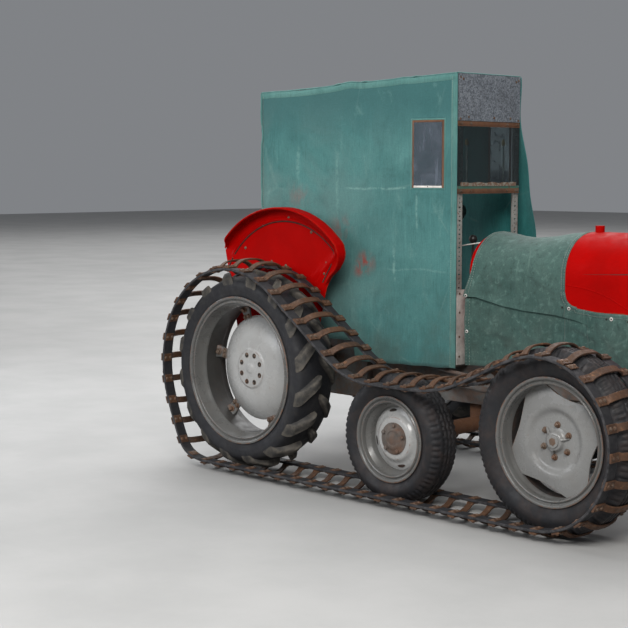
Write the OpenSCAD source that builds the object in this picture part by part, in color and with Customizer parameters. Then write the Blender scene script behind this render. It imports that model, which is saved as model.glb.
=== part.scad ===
// Farm tractor on a belt-and-cleat track kit, with a canvas cab and engine apron.
// Millimetres. X forward, Y left, Z up, origin on the ground below the middle of the whole part.

/* [Layout] */
// distance between the rear and front axles
wheelbase = 1778; // [1600:1:2000]
// distance between the wheel planes of the two sides
track_width = 1270; // [1180:1:1400]
// middle (idler) wheel, forward of the rear axle
mid_x = 940; // [880:1:1000]

/* [Track] */
// width of one rubber belt
belt_width = 55; // [40:1:70]
// thickness of one rubber belt
belt_thick = 12; // [8:0.5:18]
// inner edge of a belt from the wheel plane
belt_inset = 97; // [90:1:110]
// thickness of a cleat bar
cleat_thick = 8; // [5:0.5:12]
// width of a cleat bar along the belt
cleat_width = 36; // [25:1:50]
// rise of a cleat's arch over its feet
arch_rise = 32; // [20:1:45]
// distance aimed at between cleats
cleat_pitch = 104; // [90:1:160]
// radius of the loop round the rear wheel
rear_turn_r = 475; // [465:1:500]
// how far the loop hangs back behind the rear wheel
rear_slack = 25; // [10:1:40]
// radius of the lower rear corner
corner_r = 120; // [90:1:160]
// place of the lower rear corner behind the rear axle
corner_back = 270; // [230:1:300]
// rear saddle of the top run, behind the middle wheel
saddle_rear_back = 70; // [40:1:110]
// radius of the rear saddle
saddle_rear_r = 380; // [300:5:450]
// front saddle of the top run, behind the front axle
saddle_front_back = 628; // [600:1:700]
// radius of the front saddle
saddle_front_r = 600; // [500:10:640]

/* [Rear wheel] */
// radius over the rim flange
rear_flange_r = 349; // [330:1:365]
// half width of the rim
rear_rim_half = 110; // [95:1:120]
// radius of the tyre's shoulder, which runs on the belts
rear_shoulder_r = 448; // [430:1:455]
// radius over the lugs at the crown
rear_crown_r = 478; // [460:1:482]
// half width of the tyre at its widest
rear_section_half = 113; // [105:1:120]
// radius of the dished disc
rear_disc_r = 250; // [220:1:270]
// how far the disc stands out at its middle
rear_dish_out = 30; // [15:1:45]
// radius of the flat at the disc's middle
rear_flat_r = 108; // [100:1:125]
// diameter of the circle of the disc's bolt holes
rear_hole_circle = 154; // [148:1:165]
// radius of a bolt hole in the disc
rear_hole_r = 8; // [6:0.5:10]
// height of the lugs over the carcass at the crown
tread_deep = 34; // [25:1:40]
// height of the lugs over the carcass at the shoulder
shoulder_deep = 23; // [18:1:28]
// width of a lug at its outer end
tread_lug_width = 60; // [45:1:70]
// radius of the hub barrel
rear_hub_r = 62; // [50:1:75]
// radius of the axle shaft in the hub
rear_shaft_r = 30; // [22:0.5:40]

/* [Middle wheel] */
// radius over the rim flange
mid_flange_r = 188; // [175:1:200]
// half width of the rim
mid_rim_half = 76; // [65:1:82]
// radius of the tyre's crown
mid_crown_r = 279.5; // [265:0.5:290]
// half width of the tyre at its widest
mid_section_half = 87; // [80:1:90]
// how far the disc stands out at its middle
mid_dish_out = 38; // [20:1:50]
// radius of the hub barrel
mid_hub_r = 44; // [38:1:52]
// radius of the stub axle
mid_shaft_r = 20; // [15:0.5:26]

/* [Front wheel] */
// radius over the rim flange
front_flange_r = 258; // [245:1:270]
// half width of the rim
front_rim_half = 70; // [60:1:76]
// radius of the tyre's crown
front_crown_r = 369.5; // [355:0.5:380]
// half width of the tyre at its widest
front_section_half = 79; // [72:1:86]
// how far the disc stands out at its middle
front_dish_out = 46; // [38:1:55]
// how far the disc's flat stands out inside the ring
front_flat_out = 30; // [22:1:36]
// radius of the raised ring of the disc
front_ring_r = 126; // [115:1:135]
// distance of the disc's straight-cut openings from the hub
front_cut_from = 178; // [168:1:190]
// radius of the hub barrel
front_hub_r = 46; // [38:1:54]
// radius of the stub axle
front_shaft_r = 22; // [16:0.5:28]

/* [Drive line] */
// half width of the gearbox
gearbox_half = 130; // [110:1:150]
// bottom of the gearbox over the ground
gearbox_low = 380; // [350:1:420]
// top of the gearbox over the ground
gearbox_top = 640; // [600:1:680]
// half width of the rear housing
housing_half = 170; // [150:1:190]
// top of the rear housing over the ground
housing_top = 720; // [690:1:760]
// radius of the axle trumpets at the housing
trumpet_r = 95; // [80:1:110]
// radius of the axle trumpets at the wheel
trumpet_end_r = 78; // [65:1:90]
// half width of the engine
engine_half = 140; // [120:1:160]
// rear face of the engine, forward of the rear axle
engine_rear = 1010; // [980:1:1040]
// length of the engine
engine_length = 550; // [500:1:600]
// top of the engine over the ground
engine_top = 900; // [850:1:950]
// bottom of the sump over the ground
sump_low = 330; // [300:1:370]

/* [Bonnet] */
// half width of the bonnet
bonnet_half = 205; // [185:1:220]
// crest of the bonnet over the ground
bonnet_crest = 1172; // [1140:1:1200]
// lower edge of the bonnet over the ground
bonnet_low = 850; // [820:1:900]
// rear edge of the bonnet, forward of the rear axle
bonnet_rear = 1010; // [990:1:1040]
// where the bonnet meets the nose, forward of the rear axle
nose_rear = 1850; // [1800:1:1880]
// front of the nose, forward of the rear axle
nose_front = 2030; // [1980:1:2060]
// lower edge of the nose over the ground
nose_low = 560; // [520:1:600]
// thickness of the panels
panel_thick = 4; // [2:0.5:6]
// width of the grille opening
grille_width = 196; // [160:1:205]
// height of the grille opening
grille_height = 350; // [300:1:360]
// number of grille bars
grille_bars = 11; // [7:2:15]

/* [Canvas] */
// thickness of the canvas
canvas_thick = 4; // [3:0.5:6]
// front edge of the engine apron at its top, forward of the rear axle
apron_front = 1486; // [1400:1:1600]
// lower edge of the side curtains over the ground
curtain_low = 570; // [545:1:620]
// front edge of the side curtains, forward of the rear axle
curtain_front = 1840; // [1700:5:1845]

/* [Cab] */
// front face of the cab, forward of the rear axle
cab_front = 903; // [890:1:915]
// rear edge of the cab behind the rear axle
cab_back = 150; // [120:1:180]
// half width of the cab at the front
cab_front_half = 226; // [218:1:235]
// half width of the cab at the rear
cab_rear_half = 450; // [430:1:460]
// top of the cab at the front over the ground
cab_front_top = 1874; // [1800:1:1950]
// top of the cab at the rear over the ground
cab_rear_top = 1815; // [1750:1:1850]
// lower edge of the side canvas ahead of the axle
side_low = 545; // [535:1:600]
// lower edge of the side canvas over the axle
side_low_rear = 640; // [620:1:700]
// leg of the slotted angle bars
angle_leg = 38; // [30:1:45]
// thickness of the slotted angle bars
angle_thick = 3; // [2:0.5:4]
// height of the head panel, from the cab's front top down to the windscreen
head_height = 214; // [170:1:250]
// height of the windscreen with its rails
screen_height = 326; // [290:1:360]
// height of the windscreen's rails
screen_rail = 24; // [18:1:30]
// thickness of glass
glass_thick = 5; // [4:0.5:6]
// width of the side window
window_width = 165; // [140:1:190]
// height of the side window
window_height = 305; // [270:1:340]
// top edge of the side window under the cab's front top
window_drop = 209; // [170:1:250]
// front edge of the side window from the cab's front edge
window_from_front = 66; // [55:1:90]
// width of the side window's frame bars
window_bar = 10; // [8:1:20]

/* [Fenders] */
// plane of the fender plate from the middle
fender_plane = 462; // [455:1:472]
// radius of the fender's top edge
fender_r = 545; // [520:1:570]
// middle of that radius, forward of the rear axle
fender_x = 38; // [20:1:60]
// middle of that radius over the ground
fender_z = 720; // [700:1:740]
// width of the fender's outward flange
fender_flange = 62; // [40:1:90]

/* [Seat and steering] */
// radius of the steering wheel
steer_wheel_r = 205; // [180:1:220]
// thickness radius of the steering wheel's rim
steer_rim_r = 13; // [10:0.5:16]
// rake of the steering column from upright, in degrees
steer_rake = 32; // [25:1:40]
// length of the steering column
column_length = 610; // [560:1:660]
// radius of the seat pan
seat_r = 210; // [190:1:230]
// height of the seat pan over the ground
seat_z = 830; // [800:1:860]

/* [Hitch] */
// radius of the drawbar's hole
drawbar_hole_r = 14; // [10:0.5:18]
// thickness of the drawbar
drawbar_thick = 32; // [25:1:40]
// width of the drawbar
drawbar_width = 76; // [60:1:90]
// radius of the power take-off shaft
pto_r = 14.3; // [12:0.1:18]
// radius of the top link's hole
top_link_r = 9.7; // [8:0.1:13]

/* [Hidden] */
$fn = 96;
// overrun of cuts, gap of seated pieces, of cleats on belts, of the rear and middle tyres on the track,
// of the front tyre, and radial running clearance
overrun = 2;
seat_gap = 0.3;
cleat_seat = 0.1;
contact_gap = 0.5;
front_gap = 6;
run_gap = 0.05;

// axle heights follow the tyres and the track under them
belt_low = cleat_thick + arch_rise + cleat_seat + belt_thick;
arch_depth = belt_thick + cleat_seat + arch_rise;
rear_axle_z = belt_low + contact_gap + rear_shoulder_r;
mid_axle_z = cleat_thick + contact_gap + mid_crown_r;
front_axle_z = cleat_thick + front_gap + front_crown_r;
wheel_y = track_width / 2;

// the loop: rounds as [x, z, radius], a negative radius where the loop bends the other way
front_seat_r = front_crown_r + front_gap - arch_depth;
front_turn_r = front_seat_r + cleat_pitch * cleat_pitch / (8 * front_seat_r);
saddle_z = mid_axle_z + mid_crown_r + contact_gap - arch_depth;
rounds = [
  [wheelbase, belt_low + front_turn_r, front_turn_r],
  [wheelbase - saddle_front_back, saddle_z + saddle_front_r, -saddle_front_r],
  [mid_x - saddle_rear_back, saddle_z + saddle_rear_r, -saddle_rear_r],
  [-rear_slack, rear_axle_z, rear_turn_r],
  [-corner_back, belt_low + corner_r, corner_r]
];
n_rounds = len(rounds);
function wrap(i) = (i + n_rounds) % n_rounds;
function turn360(a) = a - 360 * floor(a / 360);
function left_of(a) = [-sin(a), cos(a)];
function centre(i) = [rounds[wrap(i)][0], rounds[wrap(i)][1]];
function radius(i) = rounds[wrap(i)][2];
// direction of the straight run that leaves round i
function heading(i) = let (d = centre(i + 1) - centre(i))
  atan2(d[1], d[0]) - asin((radius(i + 1) - radius(i)) / norm(d));
headings = [for (i = [0 : n_rounds - 1]) heading(i)];
function run_in(i) = headings[wrap(i - 1)];
function turning(i) = let (t = turn360(headings[wrap(i)] - run_in(i))) radius(i) > 0 ? t : t - 360;
function leave(i) = centre(i) - radius(i) * left_of(headings[wrap(i)]);
function meet(i) = centre(i) - radius(i) * left_of(run_in(i));
// each round's bend and the straight run after it, by length
legs = [for (i = [0 : n_rounds - 1]) each [
  radius(i) * turning(i) * PI / 180, norm(meet(i + 1) - leave(i))]];
function total(v, n) = n <= 0 ? 0 : v[n - 1] + total(v, n - 1);
starts = [for (i = [0 : len(legs)]) total(legs, i)];
loop_length = starts[len(legs)];
cleat_count = round(loop_length / cleat_pitch);
pitch = loop_length / cleat_count;
// point of the belt's inner face at a distance along the loop
function along(s0) = let (
    s = s0 - loop_length * floor(s0 / loop_length),
    k = max([for (i = [0 : len(legs) - 1]) if (starts[i] <= s) i]),
    i = floor(k / 2), d = s - starts[k])
  k % 2 == 0
    ? centre(i) - radius(i) * left_of(run_in(i) + d / radius(i) * 180 / PI)
    : leave(i) + d * [cos(headings[i]), sin(headings[i])];
belt_points = [for (k = [0 : cleat_count - 1]) along((k - 1 / 2) * pitch)];
function belt_point(k) = belt_points[(k + cleat_count) % cleat_count];
function chord(k) = belt_point(k + 1) - belt_point(k);
function chord_angle(k) = atan2(chord(k)[1], chord(k)[0]);
function chord_mid(k) = (belt_point(k) + belt_point(k + 1)) / 2;
function outward(a) = -left_of(a);
// the belt's outer face: each corner on the bisector of its two chords
function outer_point(k) = let (
    a = chord_angle(k - 1), b = chord_angle(k), n = outward(a) + outward(b))
  belt_point(k) + n * (2 * belt_thick / (n * n));
belt_outer = [for (k = [0 : cleat_count - 1]) outer_point(k)];
cleat_reach = arch_depth + cleat_thick;
tips_x = [for (k = [0 : cleat_count - 1], e = [-1, 1]) let (a = chord_angle(k))
  chord_mid(k)[0] + outward(a)[0] * cleat_reach + e * cos(a) * cleat_width / 2];
x_mid = (max(tips_x) + min(tips_x)) / 2;

// cleat outline across the belts: [share of the belt's half spread, share of the arch's rise]
foot_half = belt_inset + belt_width;
crown_half_share = 0.44;
crown_half = belt_inset * crown_half_share;
leg_drop = cleat_thick * arch_rise / (belt_inset - crown_half);

// rim: height of the flange over the bead seat, depth of the well, sheet, places across the half width
lip_high = 17;
well_deep = 26;
rim_sheet = 6;
bead_share = 0.62;
well_share = 0.42;
bead_gap = 2;

// shafts and hubs
hub_end_gap = 2;
trumpet_gap = 5;
rear_hub_in = 150;
rear_hub_wall = 10;
disc_thick = 8;
small_disc_thick = 6;
mid_hub_in = 62;
front_hub_in = 58;
cap_r_share = 0.72;
cap_high = 12;
lug_count = 6;
lug_width = 52;
lug_lap = 14;
rear_holes = 8;
front_cuts = 4;
front_cut_turn = 20;
front_cut_margin = 4;
front_ring_half = 8;
front_flat_share = 0.78;
mid_slots = 4;
mid_slot_turn = 78;
mid_slot_long = 46;
mid_slot_wide = 13;
mid_slot_share = 0.65;
ridge_high = 8;
ridge_wide = 9;
ridge_in = 6;
tread_lugs = 16;
tread_sweep = 14;

// axle beam, knuckles and rods
kingpin_y = 512;
kingpin_r = 17;
boss_r = 33;
boss_wall = 5;
beam_low = 440;
beam_high = 500;
beam_half_x = 40;
post_r = 30;
arm_thick = 18;
arm_length = 120;
arm_half = 18;
arm_eye_r = 20;
rod_r = 14;
link_r = 9;
rod_rear_x = 700;
rod_front_y = 430;
rod_z = 470;
link_rear_x = 760;
drop_arm_half = 20;
drop_arm_out = 34;
idler_tube_r = 34;
idler_pad_half_x = 60;
idler_pad_half_y = 90;

// housing and engine
housing_back = 170;
housing_front = 300;
housing_low = 345;
lift_cover_back = 140;
lift_cover_front = 180;
lift_cover_half = 120;
lift_cover_high = 36;
pad_half_x = 70;
pad_width = 40;
pad_high = 26;
sump_half = 105;
sump_high = 130;
carrier_lap = 45;
carrier_half = 95;
carrier_low = 500;
carrier_high = 150;

// bonnet: corner radius, crown radius, nose corner radii
bonnet_corner = 120;
bonnet_crown = 520;
nose_plan_r = 85;
nose_top_r = 170;
nose_floor = 70;
cover_gap = 5;
apron_lean = 4;
apron_lap = 25;
cap_r = 20;
cap_x = apron_front + apron_lean + cover_gap + cap_r;
cap_stand = 30;
dash_thick = 22;
dash_x = bonnet_rear - apron_lap - cover_gap;
dash_half = bonnet_half - cover_gap;
dash_crest = bonnet_crest - cover_gap;

// cab sheets and frame
cab_run = cab_front + cab_back;
cab_angle = atan2(cab_rear_half - cab_front_half, cab_run);
side_length = norm([cab_run, cab_rear_half - cab_front_half]);
roof_angle = atan2(cab_front_top - cab_rear_top, cab_run);
axle_notch_front = 380;
post_gap = 1;
strip_width = 80;
strip_thick = 3;
strip_low = 590;
strip_high = 310;
post_lug = 28;
cab_high = max(cab_front_top, cab_rear_top);
screen_top = cab_front_top - head_height;
screen_low = screen_top - screen_height;
window_low = cab_front_top - window_drop - window_height;
function cab_half(x) = cab_front_half + (cab_front - x) * tan(cab_angle);
function cab_top(x) = cab_front_top - (cab_front - x) * tan(roof_angle);

// fender: how far its front and rear edges run in at the bottom
fender_front_x = 430;
fender_front_z = 1098;
fender_front_low = 250;
fender_rear_x = 400;
fender_rear_z = 1043;
fender_rear_low = 300;
rib_in = 52;
rib_width = 12;
rib_high = 4;
rib_low = 860;

// controls
board_thick = 5;
board_z = 555;
board_rear = 430;
seat_deep = 55;
seat_thick = 6;
seat_back = 60;
seat_stem_half = 28;
spoke_r = 8;
steer_hub_r = 28;
steer_hub_high = 40;
column_r = 19;
column_foot = 860;
lever_r = 7;
knob_r = 20;
// levers: [x, y, height over the gearbox, lean back in degrees]
lever_rows = [[775, 45, 480, 0], [820, -70, 300, 8], [700, 95, 200, 12]];

// hitch
drawbar_lap = 250;
drawbar_eye_back = 395;
pto_z = 470;
pto_length = 90;
bracket_z = 610;
bracket_half = 34;
bracket_thick = 14;
bracket_out = 60;
bracket_high = 60;

// assembly

red = [0.55, 0.05, 0.03];
grey = [0.5, 0.5, 0.47];
canvas = [0.16, 0.34, 0.31];
rust = [0.3, 0.17, 0.1];
rubber = [0.06, 0.06, 0.065];
iron = [0.3, 0.31, 0.31];
zinc = [0.55, 0.57, 0.58];

// helpers
module place() translate([-x_mid, 0, 0]) children();
module on_side(right) if (right) children(); else mirror([0, 1, 0]) children();
module pair() { children(); mirror([0, 1, 0]) children(); }
// a solid of revolution about the wheel's axle: points are [radius, distance outboard], on the right side
module revolve(points) rotate([90, 0, 0]) rotate_extrude() polygon(points);
module at_wheel(x, z, right) place() on_side(right) translate([x, -wheel_y, z]) children();
module rod(a, b, r) let (d = b - a)
  translate(a) rotate([0, acos(d[2] / norm(d)), atan2(d[1], d[0])]) cylinder(h = norm(d), r = r);
// a block between two corners
module block(a, b) translate(a) cube(b - a);
// outline in Y and Z, drawn along X from one place to another
module drawn_x(from, to) translate([from, 0, 0]) rotate([90, 0, 90]) linear_extrude(to - from) children();
// outline in X and Z, drawn along Y from one place to another
module drawn_y(from, to) translate([0, to, 0]) rotate([90, 0, 0]) linear_extrude(to - from) children();

// track
module belts(right) color(rubber) place() on_side(right)
  for (y = [-wheel_y - foot_half, -wheel_y + belt_inset])
    drawn_y(y, y + belt_width) difference() { polygon(belt_outer); polygon(belt_points); }
module cleat() translate([-cleat_width / 2, 0, 0]) rotate([90, 0, 90]) linear_extrude(cleat_width)
  translate([0, -belt_thick - cleat_seat]) polygon([
    [-foot_half, 0], [-foot_half, -cleat_thick], [-belt_inset - leg_drop, -cleat_thick],
    [-crown_half - leg_drop, -arch_rise - cleat_thick], [crown_half + leg_drop, -arch_rise - cleat_thick],
    [belt_inset + leg_drop, -cleat_thick], [foot_half, -cleat_thick], [foot_half, 0],
    [belt_inset, 0], [crown_half, -arch_rise], [-crown_half, -arch_rise], [-belt_inset, 0]]);
module cleats(right) color(rust) place() on_side(right) for (k = [0 : cleat_count - 1])
  translate([chord_mid(k)[0], -wheel_y, chord_mid(k)[1]]) rotate([0, -chord_angle(k), 0]) cleat();
module track_belts_right() belts(true);
module track_belts_left() belts(false);
module track_cleats_right() cleats(true);
module track_cleats_left() cleats(false);

// wheels
function mirrored(v) = [for (i = [len(v) - 1 : -1 : 0]) [v[i][0], -v[i][1]]];
function rim_top(r, w) = [[r, w], [r, w - rim_sheet], [r - lip_high, w - 2 * rim_sheet],
  [r - lip_high, w * bead_share], [r - lip_high - well_deep, w * well_share]];
function rim_wall(r) = r - lip_high - rim_sheet;
function rim_inner(r) = rim_wall(r) - well_deep;
module rim_ring(r, w) difference() {
  revolve(concat(rim_top(r, w), mirrored(rim_top(r, w)), [[r - lip_high - well_deep - rim_sheet, -w],
    [r - lip_high - well_deep - rim_sheet, w]]));
  for (e = [-1, 1]) revolve([[rim_inner(r) - overrun, e * (w + overrun)],
    [rim_inner(r) - overrun, e * w * well_share], [rim_inner(r), e * w * well_share],
    [rim_wall(r), e * w * bead_share], [rim_wall(r), e * (w - ridge_in - ridge_wide)],
    [rim_wall(r) - ridge_high, e * (w - ridge_in - ridge_wide)],
    [rim_wall(r) - ridge_high, e * (w - ridge_in)],
    [rim_wall(r), e * (w - ridge_in)], [rim_wall(r), e * (w + overrun)]]);
}
// a dished disc from its edge to its flat, with the flat's face at a distance outboard
module dish(edge_r, edge_at, flat_r, out, thick) revolve([[0, out], [flat_r, out], [edge_r, edge_at],
  [edge_r, edge_at - thick], [flat_r, out - thick], [0, out - thick]]);
// the front disc: a flat, a raised ring round it and a slope to the edge
module ring_dish(edge_r, edge_at) let (face = [[0, front_flat_out],
    [front_ring_r * front_flat_share, front_flat_out], [front_ring_r - front_ring_half, front_dish_out],
    [front_ring_r + front_ring_half, front_dish_out], [edge_r, edge_at]])
  revolve(concat(face, [for (i = [len(face) - 1 : -1 : 0]) face[i] - [0, small_disc_thick]]));
module hub(r, shaft_r, inner, out, wall) difference() {
  union() {
    revolve([[0, -inner], [r, -inner], [r, out], [0, out]]);
    revolve([[0, 0], [r * cap_r_share, 0], [r * cap_r_share, out + cap_high], [0, out + cap_high]]);
  }
  revolve([[0, -inner - overrun], [shaft_r + run_gap, -inner - overrun], [shaft_r + run_gap, out - wall],
    [0, out - wall]]);
}
module bored(shaft_r, inner, depth) difference() {
  children();
  revolve([[0, -inner - overrun], [shaft_r + run_gap, -inner - overrun], [shaft_r + run_gap, depth],
    [0, depth]]);
}

module rear_wheel(right) color(grey) at_wheel(0, rear_axle_z, right)
  bored(rear_shaft_r, rear_hub_in, rear_dish_out - rear_hub_wall) {
    rim_ring(rear_flange_r, rear_rim_half);
    difference() {
      dish(rear_disc_r, 0, rear_flat_r, rear_dish_out, disc_thick);
      for (k = [0 : rear_holes - 1]) rotate([0, 360 * (k + 1 / 2) / rear_holes, 0])
        translate([rear_hole_circle / 2, 0, 0]) rotate([90, 0, 0])
          cylinder(h = 2 * rear_rim_half, r = rear_hole_r, center = true);
    }
    hub(rear_hub_r, rear_shaft_r, rear_hub_in, rear_dish_out, rear_hub_wall);
    for (k = [0 : lug_count - 1]) rotate([0, 360 * k / lug_count, 0])
      block([rear_disc_r - lug_lap, 0, -lug_width / 2],
        [rim_inner(rear_flange_r) + rim_sheet / 2, disc_thick, lug_width / 2]);
  }
module mid_wheel(right) color(grey) at_wheel(mid_x, mid_axle_z, right)
  bored(mid_shaft_r, mid_hub_in, mid_dish_out - rear_hub_wall) {
    rim_ring(mid_flange_r, mid_rim_half);
    difference() {
      dish(rim_inner(mid_flange_r) + rim_sheet / 2, small_disc_thick, mid_hub_r * 2, mid_dish_out,
        small_disc_thick);
      for (k = [0 : mid_slots - 1]) rotate([0, mid_slot_turn + 360 * k / mid_slots, 0])
        block([mid_flange_r * mid_slot_share - mid_slot_wide / 2, -mid_rim_half, -mid_slot_long / 2],
          [mid_flange_r * mid_slot_share + mid_slot_wide / 2, mid_rim_half, mid_slot_long / 2]);
    }
    hub(mid_hub_r, mid_shaft_r, mid_hub_in, mid_dish_out, rear_hub_wall);
  }
module front_wheel(right) color(grey) at_wheel(wheelbase, front_axle_z, right)
  bored(front_shaft_r, front_hub_in, front_dish_out - rear_hub_wall) {
    rim_ring(front_flange_r, front_rim_half);
    difference() {
      ring_dish(rim_inner(front_flange_r) + rim_sheet / 2, small_disc_thick);
      for (k = [0 : front_cuts - 1]) rotate([0, front_cut_turn + 360 * k / front_cuts, 0]) intersection() {
        block([front_cut_from, -front_rim_half, -front_flange_r],
          [front_flange_r, front_rim_half, front_flange_r]);
        rotate([90, 0, 0]) cylinder(h = 2 * front_rim_half,
          r = rim_inner(front_flange_r) - front_cut_margin,
          center = true);
      }
    }
    hub(front_hub_r, front_shaft_r, front_hub_in, front_dish_out, rear_hub_wall);
  }

// tyres: half sections from the bead to the crown as [radius, distance from the wheel plane]
module tyre(half) color(rubber) revolve(concat(half, mirrored(half)));
// rear lugs: [share of the half width, share of the sweep, share of the lug's width] from the middle outward
lug_shares = [[0.04, 0, 0.34], [0.22, 0.19, 0.62], [0.6, 0.55, 0.8], [1, 1, 1]];
module tread_lug(e) let (
    mid = [for (l = lug_shares) [e * l[0] * rear_section_half, -rear_shoulder_r * tan(tread_sweep * l[1])]],
    half = [for (l = lug_shares) [0, tread_lug_width * l[2] / 2]], n = len(lug_shares))
  drawn_x(rear_flange_r, rear_crown_r + overrun) polygon(concat(
    [for (i = [0 : n - 1]) mid[i] - half[i]], [for (i = [n - 1 : -1 : 0]) mid[i] + half[i]]));
function tyre_half(flange_r, rim_half, section_half, shoulder_r, shoulder_half, crown_r, crown_half) = [
  [flange_r - lip_high + seat_gap, rim_half - 2 * rim_sheet - bead_gap],
  [flange_r + bead_gap, rim_half - rim_sheet - bead_gap],
  [(flange_r + shoulder_r) / 2, section_half], [shoulder_r, shoulder_half],
  [crown_r, crown_half]];
rear_crown_half_share = 0.36;
rear_shoulder_half = belt_inset;
mid_shoulder_share = 0.82;
mid_crown_share = 0.46;
shoulder_rise_share = 0.8;
function shoulder_at(flange_r, crown_r) = flange_r + (crown_r - flange_r) * shoulder_rise_share;
rear_crown_half = rear_shoulder_half * rear_crown_half_share;
// outline over the lugs, from inside the carcass to the crown
rear_tread = [[(rear_flange_r + rear_shoulder_r) / 2 - bead_gap, rear_section_half - bead_gap],
  [rear_shoulder_r, rear_shoulder_half], [rear_crown_r, rear_crown_half]];
module tyre_rear(right) color(rubber) at_wheel(0, rear_axle_z, right) {
  tyre(tyre_half(rear_flange_r, rear_rim_half, rear_section_half, rear_shoulder_r - shoulder_deep,
    rear_shoulder_half + bead_gap, rear_crown_r - tread_deep, rear_crown_half));
  intersection() {
    revolve(concat(rear_tread, mirrored(rear_tread)));
    for (e = [-1, 1], k = [0 : tread_lugs - 1])
      rotate([0, 360 * (k + max(e, 0) / 2) / tread_lugs, 0]) tread_lug(e);
  }
}
module tyre_mid(right) at_wheel(mid_x, mid_axle_z, right) tyre(tyre_half(mid_flange_r, mid_rim_half,
  mid_section_half, shoulder_at(mid_flange_r, mid_crown_r), mid_section_half * mid_shoulder_share,
  mid_crown_r, mid_section_half * mid_crown_share));
module tyre_front(right) at_wheel(wheelbase, front_axle_z, right) tyre(tyre_half(front_flange_r,
  front_rim_half,
  front_section_half, shoulder_at(front_flange_r, front_crown_r), front_section_half * mid_shoulder_share,
  front_crown_r, front_section_half * mid_crown_share));
module wheel_rear_right() rear_wheel(true);
module wheel_rear_left() rear_wheel(false);
module wheel_mid_right() mid_wheel(true);
module wheel_mid_left() mid_wheel(false);
module wheel_front_right() front_wheel(true);
module wheel_front_left() front_wheel(false);
module tyre_rear_right() tyre_rear(true);
module tyre_rear_left() tyre_rear(false);
module tyre_mid_right() tyre_mid(true);
module tyre_mid_left() tyre_mid(false);
module tyre_front_right() tyre_front(true);
module tyre_front_left() tyre_front(false);

// drive line
trumpet_end = wheel_y - rear_hub_in - trumpet_gap;
module transmission_housing() color(iron) place() {
  block([housing_front - overrun, -gearbox_half, gearbox_low], [engine_rear, gearbox_half, gearbox_top]);
  block([-housing_back, -housing_half, housing_low], [housing_front, housing_half, housing_top]);
  block([-lift_cover_back, -lift_cover_half, housing_top - overrun],
    [lift_cover_front, lift_cover_half, housing_top + lift_cover_high]);
  pair() {
    translate([0, -housing_half + overrun, rear_axle_z]) rotate([90, 0, 0])
      cylinder(h = trumpet_end - housing_half + overrun, r1 = trumpet_r, r2 = trumpet_end_r);
    translate([0, -trumpet_end + overrun, rear_axle_z]) rotate([90, 0, 0])
      cylinder(h = wheel_y + rear_dish_out - rear_hub_wall - hub_end_gap - trumpet_end + overrun,
        r = rear_shaft_r);
    block([-pad_half_x, -fender_plane - pad_width / 2, rear_axle_z],
      [pad_half_x, -fender_plane + pad_width / 2, fender_foot]);
  }
}
fender_foot = rear_axle_z + trumpet_end_r + pad_high;
module engine_block() color(iron) place() {
  block([engine_rear, -engine_half, sump_low + sump_high - overrun],
    [engine_rear + engine_length, engine_half, engine_top]);
  block([engine_rear, -sump_half, sump_low],
    [engine_rear + engine_length, sump_half, sump_low + sump_high]);
  block([engine_rear + engine_length - overrun, -carrier_half, carrier_low],
    [nose_rear + carrier_lap, carrier_half, carrier_low + carrier_high]);
}
module idler_axle() color(rust) place() {
  block([mid_x - idler_pad_half_x, -idler_pad_half_y, mid_axle_z],
    [mid_x + idler_pad_half_x, idler_pad_half_y, gearbox_low]);
  translate([mid_x, 0, mid_axle_z]) rotate([90, 0, 0])
    cylinder(h = 2 * (wheel_y - mid_hub_in - trumpet_gap), r = idler_tube_r, center = true);
  translate([mid_x, 0, mid_axle_z]) rotate([90, 0, 0])
    cylinder(h = 2 * (wheel_y + mid_dish_out - rear_hub_wall - hub_end_gap), r = mid_shaft_r,
      center = true);
}

// front axle
module front_axle_beam() color(iron) place() difference() {
  union() {
    block([wheelbase - beam_half_x, -kingpin_y, beam_low], [wheelbase + beam_half_x, kingpin_y, beam_high]);
    pair() translate([wheelbase, -kingpin_y, beam_low])
      cylinder(h = beam_high - beam_low, r = boss_r + boss_wall);
  }
  pair() translate([wheelbase, -kingpin_y, beam_low - overrun])
    cylinder(h = beam_high - beam_low + 2 * overrun, r = kingpin_r + run_gap);
}
module knuckle(right) color(iron) place() on_side(right) translate([wheelbase, -kingpin_y, 0]) {
  translate([0, 0, front_axle_z - post_r])
    cylinder(h = beam_low - seat_gap - front_axle_z + post_r, r = post_r);
  translate([0, 0, front_axle_z]) cylinder(h = beam_high + arm_thick - front_axle_z, r = kingpin_r);
  translate([0, 0, front_axle_z]) rotate([90, 0, 0])
    cylinder(h = wheel_y - kingpin_y + front_dish_out - rear_hub_wall - hub_end_gap, r = front_shaft_r);
  block([-arm_length, -arm_half, beam_high + seat_gap], [0, arm_half, beam_high + arm_thick]);
  translate([0, 0, beam_high + seat_gap]) cylinder(h = arm_thick - seat_gap, r = boss_r);
  translate([-arm_length, 0, beam_high + seat_gap]) cylinder(h = arm_thick - seat_gap, r = arm_eye_r);
}
module knuckle_right() knuckle(true);
module knuckle_left() knuckle(false);
module radius_rods() color(iron) place() pair()
  difference() {
    rod([rod_rear_x - overrun, -gearbox_half, rod_z],
      [wheelbase - beam_half_x + rod_r, -rod_front_y, rod_z], rod_r);
    block([rod_rear_x - 4 * rod_r, -gearbox_half, rod_z - 2 * rod_r],
      [engine_rear, gearbox_half, rod_z + 2 * rod_r]);
    block([wheelbase - beam_half_x, -kingpin_y, beam_low], [wheelbase + beam_half_x, kingpin_y, beam_high]);
  }
link_z = beam_high + arm_thick + seat_gap + link_r;
module drag_links() color(iron) place() pair() {
  rod([link_rear_x, -gearbox_half - drop_arm_out, link_z],
    [wheelbase - arm_length, -kingpin_y, link_z], link_r);
  block([link_rear_x - drop_arm_half, -gearbox_half - drop_arm_out - link_r, link_z - link_r],
    [link_rear_x + drop_arm_half, -gearbox_half, board_z - cover_gap]);
}

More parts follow.
